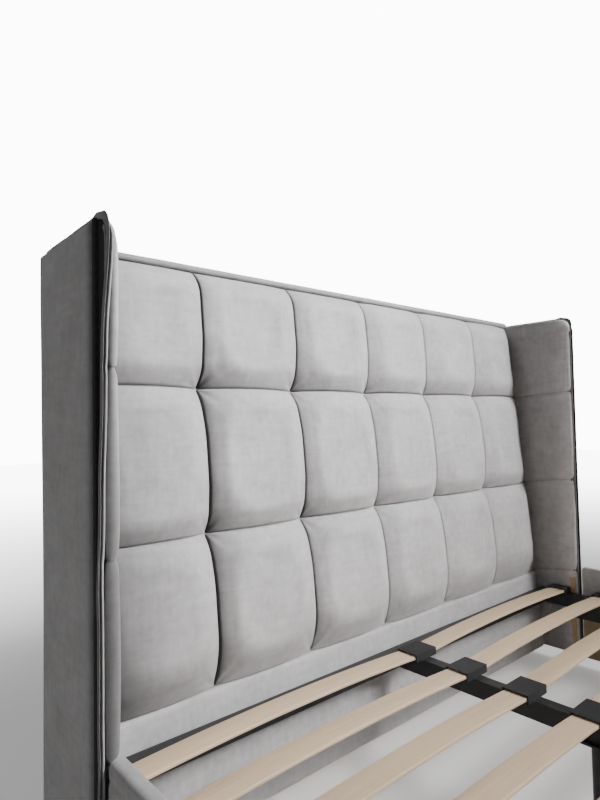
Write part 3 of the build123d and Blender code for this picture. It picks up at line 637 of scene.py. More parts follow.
def box_piece(name, cuts, shape, material, levels=1):
    """Piece made of the outside of a box with cuts on each axis, each of its points moved by shape."""
    index = {}
    points = []

    def corner(key):
        if key not in index:
            index[key] = len(points)
            points.append(Vector([axis_cuts[place] for axis_cuts, place in zip(cuts, key)]))
        return index[key]

    faces = []
    for fixed, first, second in ((2, 0, 1), (1, 0, 2), (0, 1, 2)):
        for level in (0, len(cuts[fixed]) - 1):
            for one in range(len(cuts[first]) - 1):
                for two in range(len(cuts[second]) - 1):
                    face = []
                    for step_one, step_two in ((0, 0), (1, 0), (1, 1), (0, 1)):
                        key = [level, level, level]
                        key[first] = one + step_one
                        key[second] = two + step_two
                        face.append(corner(tuple(key)))
                    faces.append(tuple(face))
    return mesh_object(name, [shape(point) for point in points], faces, material, levels)


def edge_cuts(low, high, step, near=0.0, far=0.0):
    """Cuts between two places, with extra ones in the rounded stretch at each end."""
    cuts = [low + near * share for share in round_shares] if near else []
    start = low + near
    stop = high - far
    count = max(1, round((stop - start) / step))
    cuts += [start + (stop - start) * index / count for index in range(count + 1)]
    cuts += [high - far * share for share in reversed(round_shares)] if far else []
    return cuts


def box_cuts(*axes):
    """Cuts on each axis, from the box's low and high corners, the steps and the rounded stretches."""
    return [edge_cuts(*values) for values in zip(*axes)]


def soften(point, low, high, near, far, press=0.0):
    """Draw a box's edges round, with a radius for each side, and press its faces in."""
    core = []
    reach = []
    radii = []
    for value, least, most, near_radius, far_radius in zip(point, low, high, near, far):
        if near_radius and value < least + near_radius:
            core.append(least + near_radius)
            radii.append(near_radius)
        elif far_radius and value > most - far_radius:
            core.append(most - far_radius)
            radii.append(far_radius)
        else:
            core.append(value)
            radii.append(0.0)
        reach.append((value - core[-1]) / radii[-1] if radii[-1] else 0.0)
    direction = Vector(reach)
    length = direction.length
    if not length:
        return Vector(point)
    direction *= max(abs(value) for value in reach) / length
    return Vector([centre + way * (radius - press * (radius > 0))
                   for centre, way, radius in zip(core, direction, radii)])


def outward_box(node):
    """A side piece's CAD box, with X measured outwards from the middle of the bed."""
    low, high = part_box(node)
    near, far = sorted((abs(low[0]), abs(high[0])))
    return (near, low[1], low[2]), (far, high[1], high[2])


# Wing padding
# A foam pad on each wing's inner face and a padded nose round its front and top edge, under one velvet
# cover whose cross seams carry the tile rows on and rise towards the front.
nose_roll = 0.015
nose_inner_roll = nose_roll * 0.75
nose_outer_roll = 0.0075
wing_corner = 0.043
inner_corner_more = 0.026
right_nose_set_back = 0.012
inner_set_back_share = 0.5
outer_set_back_more = 0.8
right_taper = 0.013
right_taper_reach = 0.07
wing_seam_rises = (0.015, 0.022, 0.022)
wing_seam_cut = 0.0042
wing_seam_reach = 0.017
wing_swell = 0.0016
wing_swell_reach = 0.13
wing_ripple = 0.0012
nose_pucker = 0.0012
flare_top = 1.15
flare_low = 0.60
flare_width = 0.012
flare_depth = 0.04
nose_start = -0.80
nose_fall = 1.38
# Painted light and shade on the wing padding: painted highlight on the left nose's inner edge high up and on
# the right wing's inner face near its front, painted shade on the left nose's inner edge lower down and on
# its outer side, towards the board, lower down, where the right nose faces forward and along the seams. The
# patches are the pile's own random tone.
nose_top_shine = -0.55
nose_side_dusk = 0.76
nose_side_low_dusk = 0.18
nose_patches = 0.05
inner_front_shine = 1.15
inner_front_reach = 0.075
wing_seam_dusk = 0.40
wing_seam_line = 0.003
inner_dusk = 0.14
inner_low_dusk = 0.06
inner_patches = 0.09
right_front_dusk = 0.5
wing_ladder = (0.0, 0.0012, 0.003, 0.006, 0.011, 0.018, 0.030, 0.050, 0.075, 0.105, 0.14)


def lower_share(height):
    """0 above the wing's flare and 1 where it has its full width, lower down."""
    return limited((flare_top - height) / (flare_top - flare_low))


def flare(side, height, ahead, from_front):
    """How much further out the left wing's outer edge stands at its front, lower down."""
    return flare_width * lower_share(height) * (side < 0) * ahead ** 4 * max(0, 1 - from_front / flare_depth)


def turn_corner(y, z, front, top, radius):
    """Bring a square front top corner to its radius."""
    reach_y = (front + radius - y) / radius
    reach_z = (z - top + radius) / radius
    if reach_y <= 0 or reach_z <= 0:
        return y, z
    scale = max(reach_y, reach_z) / math.hypot(reach_y, reach_z)
    return front + radius - reach_y * scale * radius, top - radius + reach_z * scale * radius


def roll_edges(point, inner, outer, front, top, press):
    """Turn the front top corner first, and then roll the inner and outer edges all along it."""
    x, y, z = point
    corner = wing_corner + inner_corner_more * (outer - x) / (outer - inner)
    turned_y, turned_z = turn_corner(y, z, front, top, corner)
    if y < front + corner and z > top - corner:
        way = Vector((0, turned_y - front - corner, turned_z - top + corner))
        way = way.normalized() if way.length > 1e-6 else Vector((0, -0.7, 0.7))
    else:
        way = Vector((0, -1, 0) if y - front < top - z else (0, 0, 1))
    ahead = max(0.0, 1 - min(y - front, top - z) / nose_roll)
    cross = radius = 0.0
    if x < inner + nose_inner_roll:
        radius = nose_inner_roll
        cross = (x - inner - radius) / radius
    elif x > outer - nose_outer_roll:
        radius = nose_outer_roll
        cross = (x - outer + radius) / radius
    length = math.hypot(ahead, cross)
    if not length:
        return Vector((x, turned_y, turned_z))
    scale = max(ahead, abs(cross)) / length
    along = math.hypot(ahead * scale, cross * scale)
    place = Vector((x + (cross * scale - cross) * radius, turned_y, turned_z))
    place += way * ((ahead * scale - ahead) * nose_roll - press * ahead * scale / along)
    place.x -= press * cross * scale / along
    return place


for side, hand in sides:
    (inner_x, front_y, low_z), (outer_x, _, top_z) = outward_box(f"{hand}_wing_nose")
    back_y = board_front(top_z)
    row_stops = [low_z, *reversed(row_seams[1:]), top_z]
    tilts = [0, *reversed(wing_seam_rises), 0]
    zs = {z for z in seam_grid(row_stops, wing_ladder) if z < top_z - nose_roll}
    zs.update(edge_cuts(top_z - nose_roll, top_z, nose_roll, far=nose_roll))

    def padding_shape(point):
        """Pull the seams in, roll the edges, tilt the rows and lean the back edge with the board."""
        x, y, z = point
        ahead = (back_y - y) / (back_y - front_y)
        gap = min(abs(z - seam) for seam in row_stops[1:4])
        press = wing_seam_cut * max(0, 1 - gap / wing_seam_reach) ** 2.2
        press -= wing_swell * (1 - max(0, 1 - gap / wing_swell_reach) ** 2)
        press += nose_pucker * ahead ** 6 * wavy(side * 5, 0, z * 60)
        press -= wing_ripple * wavy(side, y * 9, z * 7)
        if x > outer_x - 0.0001 and y > front_y + nose_roll:
            press = 0
        place = roll_edges(point, inner_x, outer_x, front_y, top_z, press)
        for stop, following, tilt, next_tilt in zip(row_stops, row_stops[1:], tilts, tilts[1:]):
            if stop <= z <= following:
                share = (z - stop) / (following - stop)
                place.z += (tilt + (next_tilt - tilt) * share) * ahead
        place.y += (board_front(place.z) - back_y) * (1 - ahead) ** 2
        outward = (place.x - inner_x) / (outer_x - inner_x)
        place.x += outward * flare(side, place.z, ahead, y - front_y)
        if side > 0:
            near_front = max(0.0, 1 - (y - front_y) / right_taper_reach) * limited((top_z - z) / wing_corner)
            place.x += right_taper * near_front ** 2 * max(0.0, 1 - outward)
            set_back = inner_set_back_share + outer_set_back_more * max(0.0, outward) ** 2
            place.y += right_nose_set_back * set_back * near_front
        return side * place.x, place.y, place.z

    def wing_painted_light(place, normal):
        """Painted highlight on the left nose's upper inner edge and the right wing's front, painted shade on
        the nose's lower and outer side, towards the board, lower down, where the right nose faces forward and
        at the seams, and the pile's own random patches.
        """
        patch = wavy(place.y * 14, place.z * 9, 3) + 0.6 * noise.noise(place * 30)
        low_share = lower_share(place.z)
        from_front = place.y - front_y
        depth = back_y - front_y
        deep = limited(from_front / depth)
        lean_back = board_front(place.z) - back_y
        run_back = math.sqrt(max(0, depth * depth + 4 * lean_back * from_front)) - depth
        ahead = 1 - run_back / (2 * lean_back) if abs(lean_back) > 0.001 else 1 - deep
        gap = min(abs(place.z - seam - rise * ahead) for seam, rise in zip(row_seams[1:], wing_seam_rises))
        line = wing_seam_dusk * max(0, 1 - gap / wing_seam_line)
        at_front = max(0, 1 - from_front / inner_front_reach)
        if place.x < 0:
            outward = limited((abs(place.x) - inner_x) / (outer_x - inner_x + flare_width * low_share))
            inner_edge = max(nose_top_shine, nose_start + nose_fall * low_share)
            outer_edge = nose_side_dusk + nose_side_low_dusk * low_share
            steep = eased(outward / 0.8)
            across = steep + (outward * (2 - outward) - steep) * low_share
            dusk = (inner_edge + (outer_edge - inner_edge) * across) * at_front
            return dusk + inner_dusk * deep + nose_patches * patch + 0.5 * line
        front_dusk = right_front_dusk * limited((-normal.y - 0.75) / 0.25)
        dusk = inner_dusk * deep + inner_low_dusk * low_share * deep + inner_patches * patch
        return dusk - inner_front_shine * at_front ** 1.5 + front_dusk + line

    cuts = (edge_cuts(inner_x, outer_x, 0.003, nose_inner_roll - 0.001, nose_outer_roll - 0.001),
            edge_cuts(front_y, back_y, 0.008, near=nose_roll), sorted(zs))
    padding = box_piece(f"{hand}_wing_padding", cuts, padding_shape, velvet)
    paint_light_and_shade(padding, wing_painted_light)
    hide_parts(f"{hand}_wing_nose", f"{hand}_wing_pads")
    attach(padding, "bed_frame")


# Wing flange
# The inner and the outer cover meet in a double fin of velvet that stands forward of the nose and over
# the wing's top. It waves a little, leans out lower down and has a slit between its two plies.
fin_step = 0.005
fin_back_run = 0.010
fin_back_reach = 0.007
fin_profile = (
    (0.5, -1.8), (0.0, -0.8), (0.0, 1.6), (0.0, 4.0), (0.1, 5.9), (0.9, 6.9), (1.8, 6.4), (2.3, 4.4),
    (2.8, 1.6), (3.6, -0.6), (4.4, 1.6), (4.6, 4.8), (5.2, 6.9), (6.6, 7.7), (8.2, 7.1), (9.1, 5.0),
    (9.6, 1.2), (10.4, -2.4), (12.0, -5.0), (13.6, -8.0), (10.0, -9.0), (6.0, -6.5), (2.6, -3.4),
)
fin_stand = 7
fin_top_x = 0.8318
fin_bow = 0.0097
fin_bow_start = 1.15
fin_bow_drop = 0.17
fin_lean = 0.009
fin_lean_drop = 0.38
fin_wave = 0.0011
right_wave_share = 0.3
fin_seam_reach = 0.009
fin_peak = 0.0085
fin_bump = 0.0048
fin_bump_place = 0.862
fin_bump_reach = 0.012
inner_ply_start = 3.0
inner_ply_drop = 0.85
right_fin_set_back = 0.014
fin_top_share = 0.72
fin_deep = 0.0035
# Painted shade on the fin: on its outer ply and that ply's inner side, in the slit, in the groove by the
# nose, over the top and the corner, and on the whole right fin.
fin_dusks = {"outer": 0.68, "inner_side": 0.25, "slit": 1.3, "groove": 0.80, "top": 0.08, "corner": 0.35,
             "right": 0.72}
outer_ply_width = 0.0026
slit_middle = 0.0034
slit_reach = 0.0022
fin_groove_start = 0.0078
fin_groove_reach = 0.0015
fin_top_start = 1.165
fin_top_reach = 0.02


def fin_tip(height):
    """How far out the left fin's outer face stands at a height."""
    bow = eased((fin_bow_start - height) / fin_bow_drop)
    lean = limited((fin_bow_start - fin_bow_drop - height) / fin_lean_drop)
    return fin_top_x + fin_bow * bow + fin_lean * lean


def wing_path(front, top, low, back, radius, step):
    """Depth, height, outward direction and turn of the points along a wing's front, corner and top."""
    straight = top - radius - low
    count = round(straight / step)
    path = [(front, low + straight * index / count, -1.0, 0.0, 0.0) for index in range(count + 1)]
    count = max(8, round(radius * math.pi / 2 / step * 1.5))
    for index in range(1, count + 1):
        ahead = math.cos(math.pi / 2 * index / count)
        rise = math.sin(math.pi / 2 * index / count)
        path.append((front + radius - radius * ahead, top - radius + radius * rise, -ahead, rise,
                     index / count))
    run = back - front - radius
    count = round(run / step)
    path += [(front + radius + run * index / count, top, 0.0, 1.0, 1.0) for index in range(1, count + 1)]
    return path


for side, hand in sides:
    fin_low, fin_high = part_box(f"{hand}_wing_flange")
    nose_low, nose_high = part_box(f"{hand}_wing_nose")
    fin_back = fin_high[1] + fin_back_reach
    wave = fin_wave * (1 if side < 0 else right_wave_share)
    rings = []
    for y, z, out_y, out_z, turned in wing_path(nose_low[1], nose_high[2], fin_low[2], fin_back, wing_corner,
                                                fin_step):
        tip = fin_tip(z) if side < 0 else fin_top_x
        sway = wave * wavy(side * 3, (y - z) * 11, 1)
        bend = wave * wavy(side * 7, (y - z) * 13, 5)
        for seam, rise in zip(row_seams[1:], wing_seam_rises):
            bend -= 2 * wave * math.exp(-((z - seam - rise) / fin_seam_reach) ** 2) * (1 - turned)
        corner_share = math.sin(math.pi * turned) ** 2
        bump = math.exp(-((y - fin_bump_place) / fin_bump_reach) ** 2) * out_z ** 4
        peak = fin_peak * corner_share + fin_bump * bump
        set_back = right_fin_set_back * (side > 0) * (1 - turned)
        near_back = max(0, 1 - (fin_back - y) / fin_back_run) ** 2
        lowered = 1 - (1 - fin_top_share) * turned - near_back * turned
        deeper = fin_deep * limited((z - flare_low) / (fin_bow_start - flare_low)) ** 2 * (1 - turned)
        ring = []
        for inward, out in fin_profile:
            outer_ply = inward < inner_ply_start
            stand = out / 1000 * (lowered if out > 0 else 1)
            stand += (bend + peak * outer_ply) * max(0.0, out / fin_stand)
            if not outer_ply and out > 0:
                stand *= 1 - inner_ply_drop * corner_share
            if inward < 1 and out < 0:
                stand -= deeper
            x = tip - inward / 1000 + sway
            ring.append((side * x, y + set_back + out_y * stand, z + out_z * stand))
        rings.append(ring)
    fin = sweep(f"{hand}_wing_fin", rings, velvet, 1)

    def fin_shade(place, normal):
        """Painted shade on the outer ply, the slit, the groove by the nose, the run over the top and the
        whole right fin.
        """
        inward = (fin_tip(place.z) if place.x < 0 else fin_top_x) - abs(place.x)
        at_front = limited(1.2 - (place.y - nose_low[1]) / wing_corner)
        inner_side = max(0.0, normal.x if place.x < 0 else -normal.x)
        outer = (fin_dusks["outer"] + fin_dusks["inner_side"] * inner_side) * at_front
        slit = fin_dusks["slit"] * max(0.0, 1 - abs(inward - slit_middle) / slit_reach)
        groove = fin_dusks["groove"] * limited((inward - fin_groove_start) / fin_groove_reach)
        top = fin_dusks["top"] + fin_dusks["corner"] * at_front
        return max(outer * limited((outer_ply_width + 0.001 - inward) / 0.001), max(slit, groove) * at_front,
                   top * limited((place.z - fin_top_start) / fin_top_reach),
                   fin_dusks["right"] if place.x > 0 else 0)

    paint_light_and_shade(fin, fin_shade)
    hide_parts(f"{hand}_wing_flange")
    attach(fin, "bed_frame")


# Wing outer covers and the dark lining of the hollow
# A velvet cover with thin foam over the plywood, rolled over its front edge into the hollow behind the
# flange, where black lining cloth closes the rebate. Painted shade darkens the rolled edge, and the lining's
# black stands partly for the hollow's deep shade.
cover_roll = 0.024
cover_edge = 0.007
cover_swell = 0.0015
cover_ripple = 0.0009
cover_near = (0, cover_roll, 0)
cover_far = (cover_edge, cover_edge, cover_edge)
cover_set_back = 0.0065
cover_dusk = 0.92
back_puff = 0.003
back_fill = 0.009
back_fill_start = 0.50
back_fill_rise = 0.60
back_edge_depth = 0.0036
back_edge_round = 0.002
lining_thickness = 0.0005
lining_ripple = 0.0003
lining_steps = 15

weave = texture_group(
    "cloth_weave",
    {"clouds": (12, 2), "upright": (700, 1, 1, 1, 0.15), "level": (700, 1, 0.15, 0.15, 1)},
    {"clouds": 0.25, "upright": 0.5, "level": 0.5}, {"upright": 1.0, "level": 1.0})
# The lining is black cloth that also stands in for the deep shade in the hollow, so its darkness is partly
# painted shade.
lining_and_shade_cloth = textured_material("black_lining_and_shade", (0.05, 0.05, 0.052), weave, 1.0, 0.95, 0.4, 0.0003,
                                 {"Specular IOR Level": 0.1})
back_cloth = textured_material("grey_back_cloth", (0.075, 0.075, 0.078), weave, 0.7, 0.9, 0.5, 0.0004,
                               {"Specular IOR Level": 0.2})


def back_share(height):
    """How full the wing's cover stands out at the back, at a height."""
    return limited((height - back_fill_start) / back_fill_rise)


for side, hand in sides:
    (inner_x, nose_front, _), (tongue_x, _, nose_top) = outward_box(f"{hand}_wing_nose")
    (_, board_y, low_z), high = outward_box(f"{hand}_wing_outer_cover")
    front_y = board_y + cover_set_back
    low = (tongue_x + 0.0004, front_y, low_z)

    def cover_shape(point):
        """Round the cover's edges, swell its face and fill it out towards the back."""
        across = (point.y - low[1]) / (high[1] - low[1])
        press = -cover_swell * math.sin(math.pi * limited(across)) ** 0.5
        press -= cover_ripple * wavy(side * 2, point.y * 8, point.z * 4)
        place = soften(point, low, high, cover_near, cover_far, press)
        fill = back_share(place.z) * max(0, across) ** 3
        if point.x > low[0]:
            place.x += back_puff * fill
        place.y += back_fill * fill
        return side * place.x, place.y, place.z

    cuts = box_cuts(low, high, (0.004, 0.016, 0.016), cover_near, cover_far)
    cover = box_piece(f"{hand}_wing_cover", cuts, cover_shape, velvet)
    # Painted shade on the cover where it rolls over its front edge into the hollow.
    paint_light_and_shade(cover, lambda place, normal:
              cover_dusk * max(0, 1 - (place.y - front_y - 0.001) / cover_roll) ** 1.3)
    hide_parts(f"{hand}_wing_outer_cover")
    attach(cover, "bed_frame")

    strip_low = (inner_x + 0.0003, high[1] - back_edge_depth, low_z)
    strip_high = (low[0] + 0.003, high[1], high[2])

    def strip_shape(point):
        """Round the turned edge on the back and keep it against the cover."""
        place = soften(point, strip_low, strip_high, (back_edge_round, 0, 0),
                       (0, back_edge_round, cover_edge))
        place.y += back_fill * back_share(place.z) * (point.y > strip_low[1])
        return side * place.x, place.y, place.z

    cuts = box_cuts(strip_low, strip_high, (0.005, 0.002, 0.02), (back_edge_round, 0, 0), (0, 0, cover_edge))
    strip = box_piece(f"{hand}_wing_back_edge", cuts, strip_shape, velvet)
    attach(strip, "bed_frame")

    board_x = tongue_x + 0.006
    nose_back = board_front(nose_top)
    route = [(tongue_x + 0.0003, nose_front + 0.001 + (board_y - nose_front - 0.0022) * index / lining_steps,
              1, 0) for index in range(lining_steps + 1)]
    route += [(tongue_x + 0.0010, board_y - 0.0008, 0.7, -0.7), (tongue_x + 0.0030, board_y - 0.0006, 0, -1),
              (board_x - 0.0004, board_y - 0.0006, 0, -1), (board_x + 0.0005, board_y + 0.0002, 0.7, -0.7),
              (board_x + 0.0006, board_y + 0.0030, 1, 0), (board_x + 0.0006, front_y + 0.0030, 1, 0)]
    heights = edge_cuts(low_z, nose_top - 0.001, 0.02)
    rings = []
    for height in heights:
        ring = []
        for thickness in (0, lining_thickness):
            for x, y, out_x, out_y in (route if thickness else reversed(route)):
                ripple = lining_ripple * (1 + wavy(side, y * 40, height * 25))
                turned_y, turned_z = turn_corner(y, height, nose_front, nose_top, wing_corner)
                x += flare(side, height, (nose_back - y) / (nose_back - nose_front), y - nose_front)
                x += out_x * (thickness + ripple)
                ring.append((side * x, turned_y + out_y * thickness, turned_z))
        rings.append(ring)
    lining = sweep(f"{hand}_hollow_lining", rings, lining_and_shade_cloth)
    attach(lining, "bed_frame")


# Pad along the headboard's top
# Thin foam under velvet, between the standing lip and the back, with a short cross seam at every column.
top_pad_round = 0.007
top_pad_swell = 0.002
top_pad_ripple = 0.0007
top_pad_dip = 0.0022
top_pad_dip_reach = 0.004
pad_box_low, pad_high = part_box("headboard_top_pad")
pad_low = (pad_box_low[0], pad_box_low[1] - 0.002, pad_box_low[2])


def top_pad_shape(point):
    """Swell the pad's upper side and pull it in at the cross seams."""
    across = (point.y - pad_box_low[1]) / (pad_high[1] - pad_box_low[1])
    swell = top_pad_swell * math.sin(math.pi * limited(across))
    swell += top_pad_ripple * wavy(point.x * 10, point.y * 20, 2)
    dip = sum(math.exp(-abs(point.x - seam) / top_pad_dip_reach) for seam in column_seams[1:-1])
    place = soften(point, pad_low, pad_high, (0, 0, 0), (0, top_pad_round, top_pad_round))
    if point.z > pad_low[2] + 0.002:
        place.z += swell - top_pad_dip * dip
    return place


top_pad = box_piece(
    "headboard_top_padding",
    (seam_grid([pad_low[0], *column_seams[1:-1], pad_high[0]], seam_ladder),
     edge_cuts(pad_low[1], pad_high[1], 0.006, far=top_pad_round),
     edge_cuts(pad_low[2], pad_high[2], 0.004, far=top_pad_round)),
    top_pad_shape, velvet)
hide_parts("headboard_top_pad")
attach(top_pad, "bed_frame")


# Plain pad below the tiles
# Below the tiles the board carries one long smooth pad without seams.
skirt_depth = 0.014
skirt_round = 0.010
skirt_near = (skirt_round, skirt_round, skirt_round)
skirt_far = (skirt_round, 0, skirt_round)
skirt_swell = 0.002
skirt_ripple = 0.0012
skirt_box_low, skirt_box_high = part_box("headboard_skirt")
skirt_low = (skirt_box_low[0], -skirt_depth, skirt_box_low[2])
skirt_high = (skirt_box_high[0], 0, skirt_box_high[2])


def skirt_shape(point):
    """Round the pad's edges, swell its front and lean it with the board."""
    along = (point.z - skirt_low[2]) / (skirt_high[2] - skirt_low[2])
    swell = skirt_swell * math.sin(math.pi * along) + skirt_ripple * wavy(point.x * 5, point.z * 9, 4)
    place = soften(point, skirt_low, skirt_high, skirt_near, skirt_far)
    if place.y < -0.001:
        place.y -= swell
    return place.x, board_front(place.z) + place.y / math.cos(face_lean) - 0.0002, place.z


cuts = box_cuts(skirt_low, skirt_high, (0.02, 0.005, 0.015), skirt_near, skirt_far)
skirt = box_piece("headboard_plain_pad", cuts, skirt_shape, velvet)
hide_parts("headboard_skirt")
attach(skirt, "bed_frame")


# Rail covers
# Velvet over thin foam on the side and foot rails: rolled top edges, one seam under the outer edge and,
# inside, a lining edge stapled to the bare board.
rail_roll = 0.012
rail_inner_roll = 0.006
rail_corner = 0.014
rail_swell = 0.0022
rail_ripple = 0.0012
rail_inner_ripple = 0.0006
rail_seam_drop = 0.030
rail_seam_cut = 0.0016
rail_seam_reach = 0.006
rail_ladder = (0.0, 0.0012, 0.003, 0.006, 0.012, 0.024, 0.04)
lining_rise = 0.19
lining_edge = 0.0006
bare_board = 0.0034


def rail_cover(hand):
    """Soft cover round one rail; the foot rail's is made lengthwise too and then turned."""
    node = f"{hand}_rail_cover"
    name = f"{hand}_rail_padding"
    box_low, box_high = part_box(node)
    foot = hand == "foot"
    if foot:
        low, high = (-box_high[1], box_low[0], box_low[2]), (-box_low[1], box_high[0], box_high[2])
    else:
        low, high = outward_box(node)
    seam = high[2] - rail_seam_drop
    lining = low[2] + lining_rise
    ends = rail_corner if foot else rail_inner_roll
    zs = edge_cuts(low[2] + rail_roll, seam - rail_ladder[-1], 0.018)
    zs = [z for z in zs if abs(z - lining) > 0.004] + [lining, lining + lining_edge]
    zs += [low[2] + rail_roll * share for share in (0, 0.3, 0.65)]
    zs += [seam - step for step in rail_ladder[:-1]] + [seam + step for step in rail_ladder[1:4]]
    zs += edge_cuts(high[2] - rail_roll, high[2], 0.01, far=rail_roll)

    def rail_shape(point):
        """Swell the outer face, cut its seam in and leave the inner face thin below the lining."""
        place = soften(point, low, high, (rail_inner_roll * (point.z > lining), ends, rail_roll * 0.4),
                       (rail_roll, ends, rail_roll))
        if point.x > low[0] + 0.75 * (high[0] - low[0]):
            rise = (point.z - low[2]) / (seam - low[2])
            puff = rail_swell * math.sin(math.pi * limited(rise)) ** 0.6
            puff += rail_ripple * wavy(len(name), point.y * 6, point.z * 8)
            place.x += puff - rail_seam_cut * max(0, 1 - abs(point.z - seam) / rail_seam_reach)
        if point.x == low[0] and point.z <= lining:
            place.x += bare_board
        elif point.x < low[0] + 0.5 * (high[0] - low[0]):
            place.x += rail_inner_ripple * wavy(len(name), point.y * 14, point.z * 20)
        if foot:
            return place.y, -place.x, place.z
        return (place.x if box_low[0] > 0 else -place.x), place.y, place.z

    cuts = (edge_cuts(low[0], high[0], 0.005, rail_inner_roll, rail_roll),
            edge_cuts(low[1], high[1], 0.02, ends, ends), sorted(zs))
    cover = box_piece(name, cuts, rail_shape, velvet)
    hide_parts(node)
    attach(cover, "bed_frame")


for hand in ("left", "right", "foot"):
    rail_cover(hand)


# Back cloth
# A dark sheet closes the headboard's back. Its hem is folded under, it is stapled all round and draws a
# small dent at every staple.
hem_width = 0.014
cloth_thickness = 0.0012
cloth_gap = 0.0016
cloth_slack = 0.0012
hem_thickness = 0.001
staple_pitch = 0.06
staple_inset = 0.007
staple_pull = 0.0009
staple_pull_reach = 0.012
edge_ripple = 0.0005
edge_ripple_reach = 0.05
hem_ladder = (0.0, 0.003, 0.007, 0.011, 0.0138, 0.0146, 0.02, 0.03, 0.045)
cloth_low, cloth_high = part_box("headboard_back_cover")
cloth_width = cloth_high[0] - cloth_low[0]
cloth_height = cloth_high[2] - cloth_low[2]


def staple_places(low, length):
    """Places of the staples along one edge, with its corners."""
    run = length - 2 * staple_inset
    count = round(run / staple_pitch)
    return [low + staple_inset + run * index / count for index in range(count + 1)]


def hem_cuts(low, high):
    """Cuts that are close together in the hem at both ends."""
    return ([low + step for step in hem_ladder[:-1]]
            + edge_cuts(low + hem_ladder[-1], high - hem_ladder[-1], 0.012)
            + [high - step for step in reversed(hem_ladder[:-1])])


staple_xs = staple_places(cloth_low[0], cloth_width)
staple_zs = staple_places(cloth_low[2], cloth_height)


def cloth_shape(point):
    """Slack in the middle, small waves between the staples, a dent at each and the folded hem."""
    gap_x = min(point.x - cloth_low[0], cloth_high[0] - point.x)
    gap_z = min(point.z - cloth_low[2], cloth_high[2] - point.z)
    edge_gap = min(gap_x, gap_z)
    nearest_x = min(abs(point.x - place) for place in staple_xs)
    nearest_z = min(abs(point.z - place) for place in staple_zs)
    to_staple = min(math.hypot(nearest_x, gap_z - staple_inset), math.hypot(nearest_z, gap_x - staple_inset))
    turn = math.tau * (nearest_x if nearest_x > 0.001 else nearest_z) / staple_pitch
    slack = cloth_slack * wavy(point.x * 4, 0, point.z * 4) * limited((edge_gap - 0.02) * 12)
    y = point.y + cloth_gap + slack
    y -= staple_pull * math.exp(-(to_staple / staple_pull_reach) ** 2)
    if edge_gap > 0.001:
        y -= edge_ripple * math.exp(-edge_gap / edge_ripple_reach) * math.cos(turn)
    if point.y > cloth_low[1] and edge_gap < hem_width:
        y += hem_thickness
    return point.x, y, point.z


cloth = box_piece(
    "headboard_back_cloth",
    (hem_cuts(cloth_low[0], cloth_high[0]), [cloth_low[1], cloth_low[1] + cloth_thickness],
     hem_cuts(cloth_low[2], cloth_high[2])),
    cloth_shape, back_cloth, levels=0)
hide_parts("headboard_back_cover")
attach(cloth, "bed_frame")


# Staples round the back cloth
# Wire staples, each one instance of a bent wire on a row of points, turned a little at random.
staple_crown = 0.011
staple_wire = 0.0011
staple_bend = 0.0006
staple_sides = 6
staple_turn = 0.12
staple_sink = 0.0008


def repeat_along(name, single, places, turns, material):
    """Repeat a small mesh on points with Geometry Nodes and keep the result as one mesh."""
    rows = bpy.data.meshes.new(name)
    rows.from_pydata(places, [], [])
    stored = rows.attributes.new("turn", "FLOAT_VECTOR", "POINT")
    for index, value in enumerate(turns):
        stored.data[index].vector = value
    holder = bpy.data.objects.new(name, rows)
    scene.collection.objects.link(holder)
    tree = bpy.data.node_groups.new(name, "GeometryNodeTree")
    sockets = {
        title: tree.interface.new_socket(title, in_out="INPUT", socket_type=f"NodeSocket{kind}").identifier
        for title, kind in (("Geometry", "Geometry"), ("Part", "Object"), ("Size", "Float"),
                            ("Finish", "Material"))}
    tree.interface.new_socket("Geometry", in_out="OUTPUT", socket_type="NodeSocketGeometry")
    start = tree.nodes.new("NodeGroupInput").outputs
    part = new_node(tree, "GeometryNodeObjectInfo", {"Object": start["Part"]})
    turn = new_node(tree, "GeometryNodeInputNamedAttribute", {"Name": "turn"}, data_type="FLOAT_VECTOR")
    spread = new_node(tree, "GeometryNodeInstanceOnPoints", {
        "Points": start["Geometry"], "Instance": part.outputs["Geometry"],
        "Rotation": turn.outputs["Attribute"], "Scale": start["Size"]})
    realize = new_node(tree, "GeometryNodeRealizeInstances", {"Geometry": spread.outputs["Instances"]})
    finish = new_node(tree, "GeometryNodeSetMaterial", {
        "Geometry": realize.outputs["Geometry"], "Material": start["Finish"]})
    new_node(tree, "NodeGroupOutput", {"Geometry": finish.outputs["Geometry"]})
    spreading = holder.modifiers.new("spreading", "NODES")
    spreading.node_group = tree
    for title, value in (("Part", single), ("Size", 1.0), ("Finish", material)):
        spreading[sockets[title]] = value
    mesh = bpy.data.meshes.new_from_object(evaluated(holder))
    bpy.data.objects.remove(holder)
    bpy.data.objects.remove(single)
    mesh.polygons.foreach_set("use_smooth", [True] * len(mesh.polygons))
    piece = bpy.data.objects.new(name, mesh)
    scene.collection.objects.link(piece)
    return piece


def tube_rings(path, radius, count):
    """Rings round a path of points, for a wire."""
    rings = []
    for index, place in enumerate(path):
        along = Vector(path[min(len(path) - 1, index + 1)]) - Vector(path[max(0, index - 1)])
        flat = along.normalized().orthogonal().normalized()
        across = along.normalized().cross(flat)
        angles = [math.tau * turn / count for turn in range(count)]
        rings.append([Vector(place) + radius * (math.cos(angle) * flat + math.sin(angle) * across)
                      for angle in angles])
    return rings


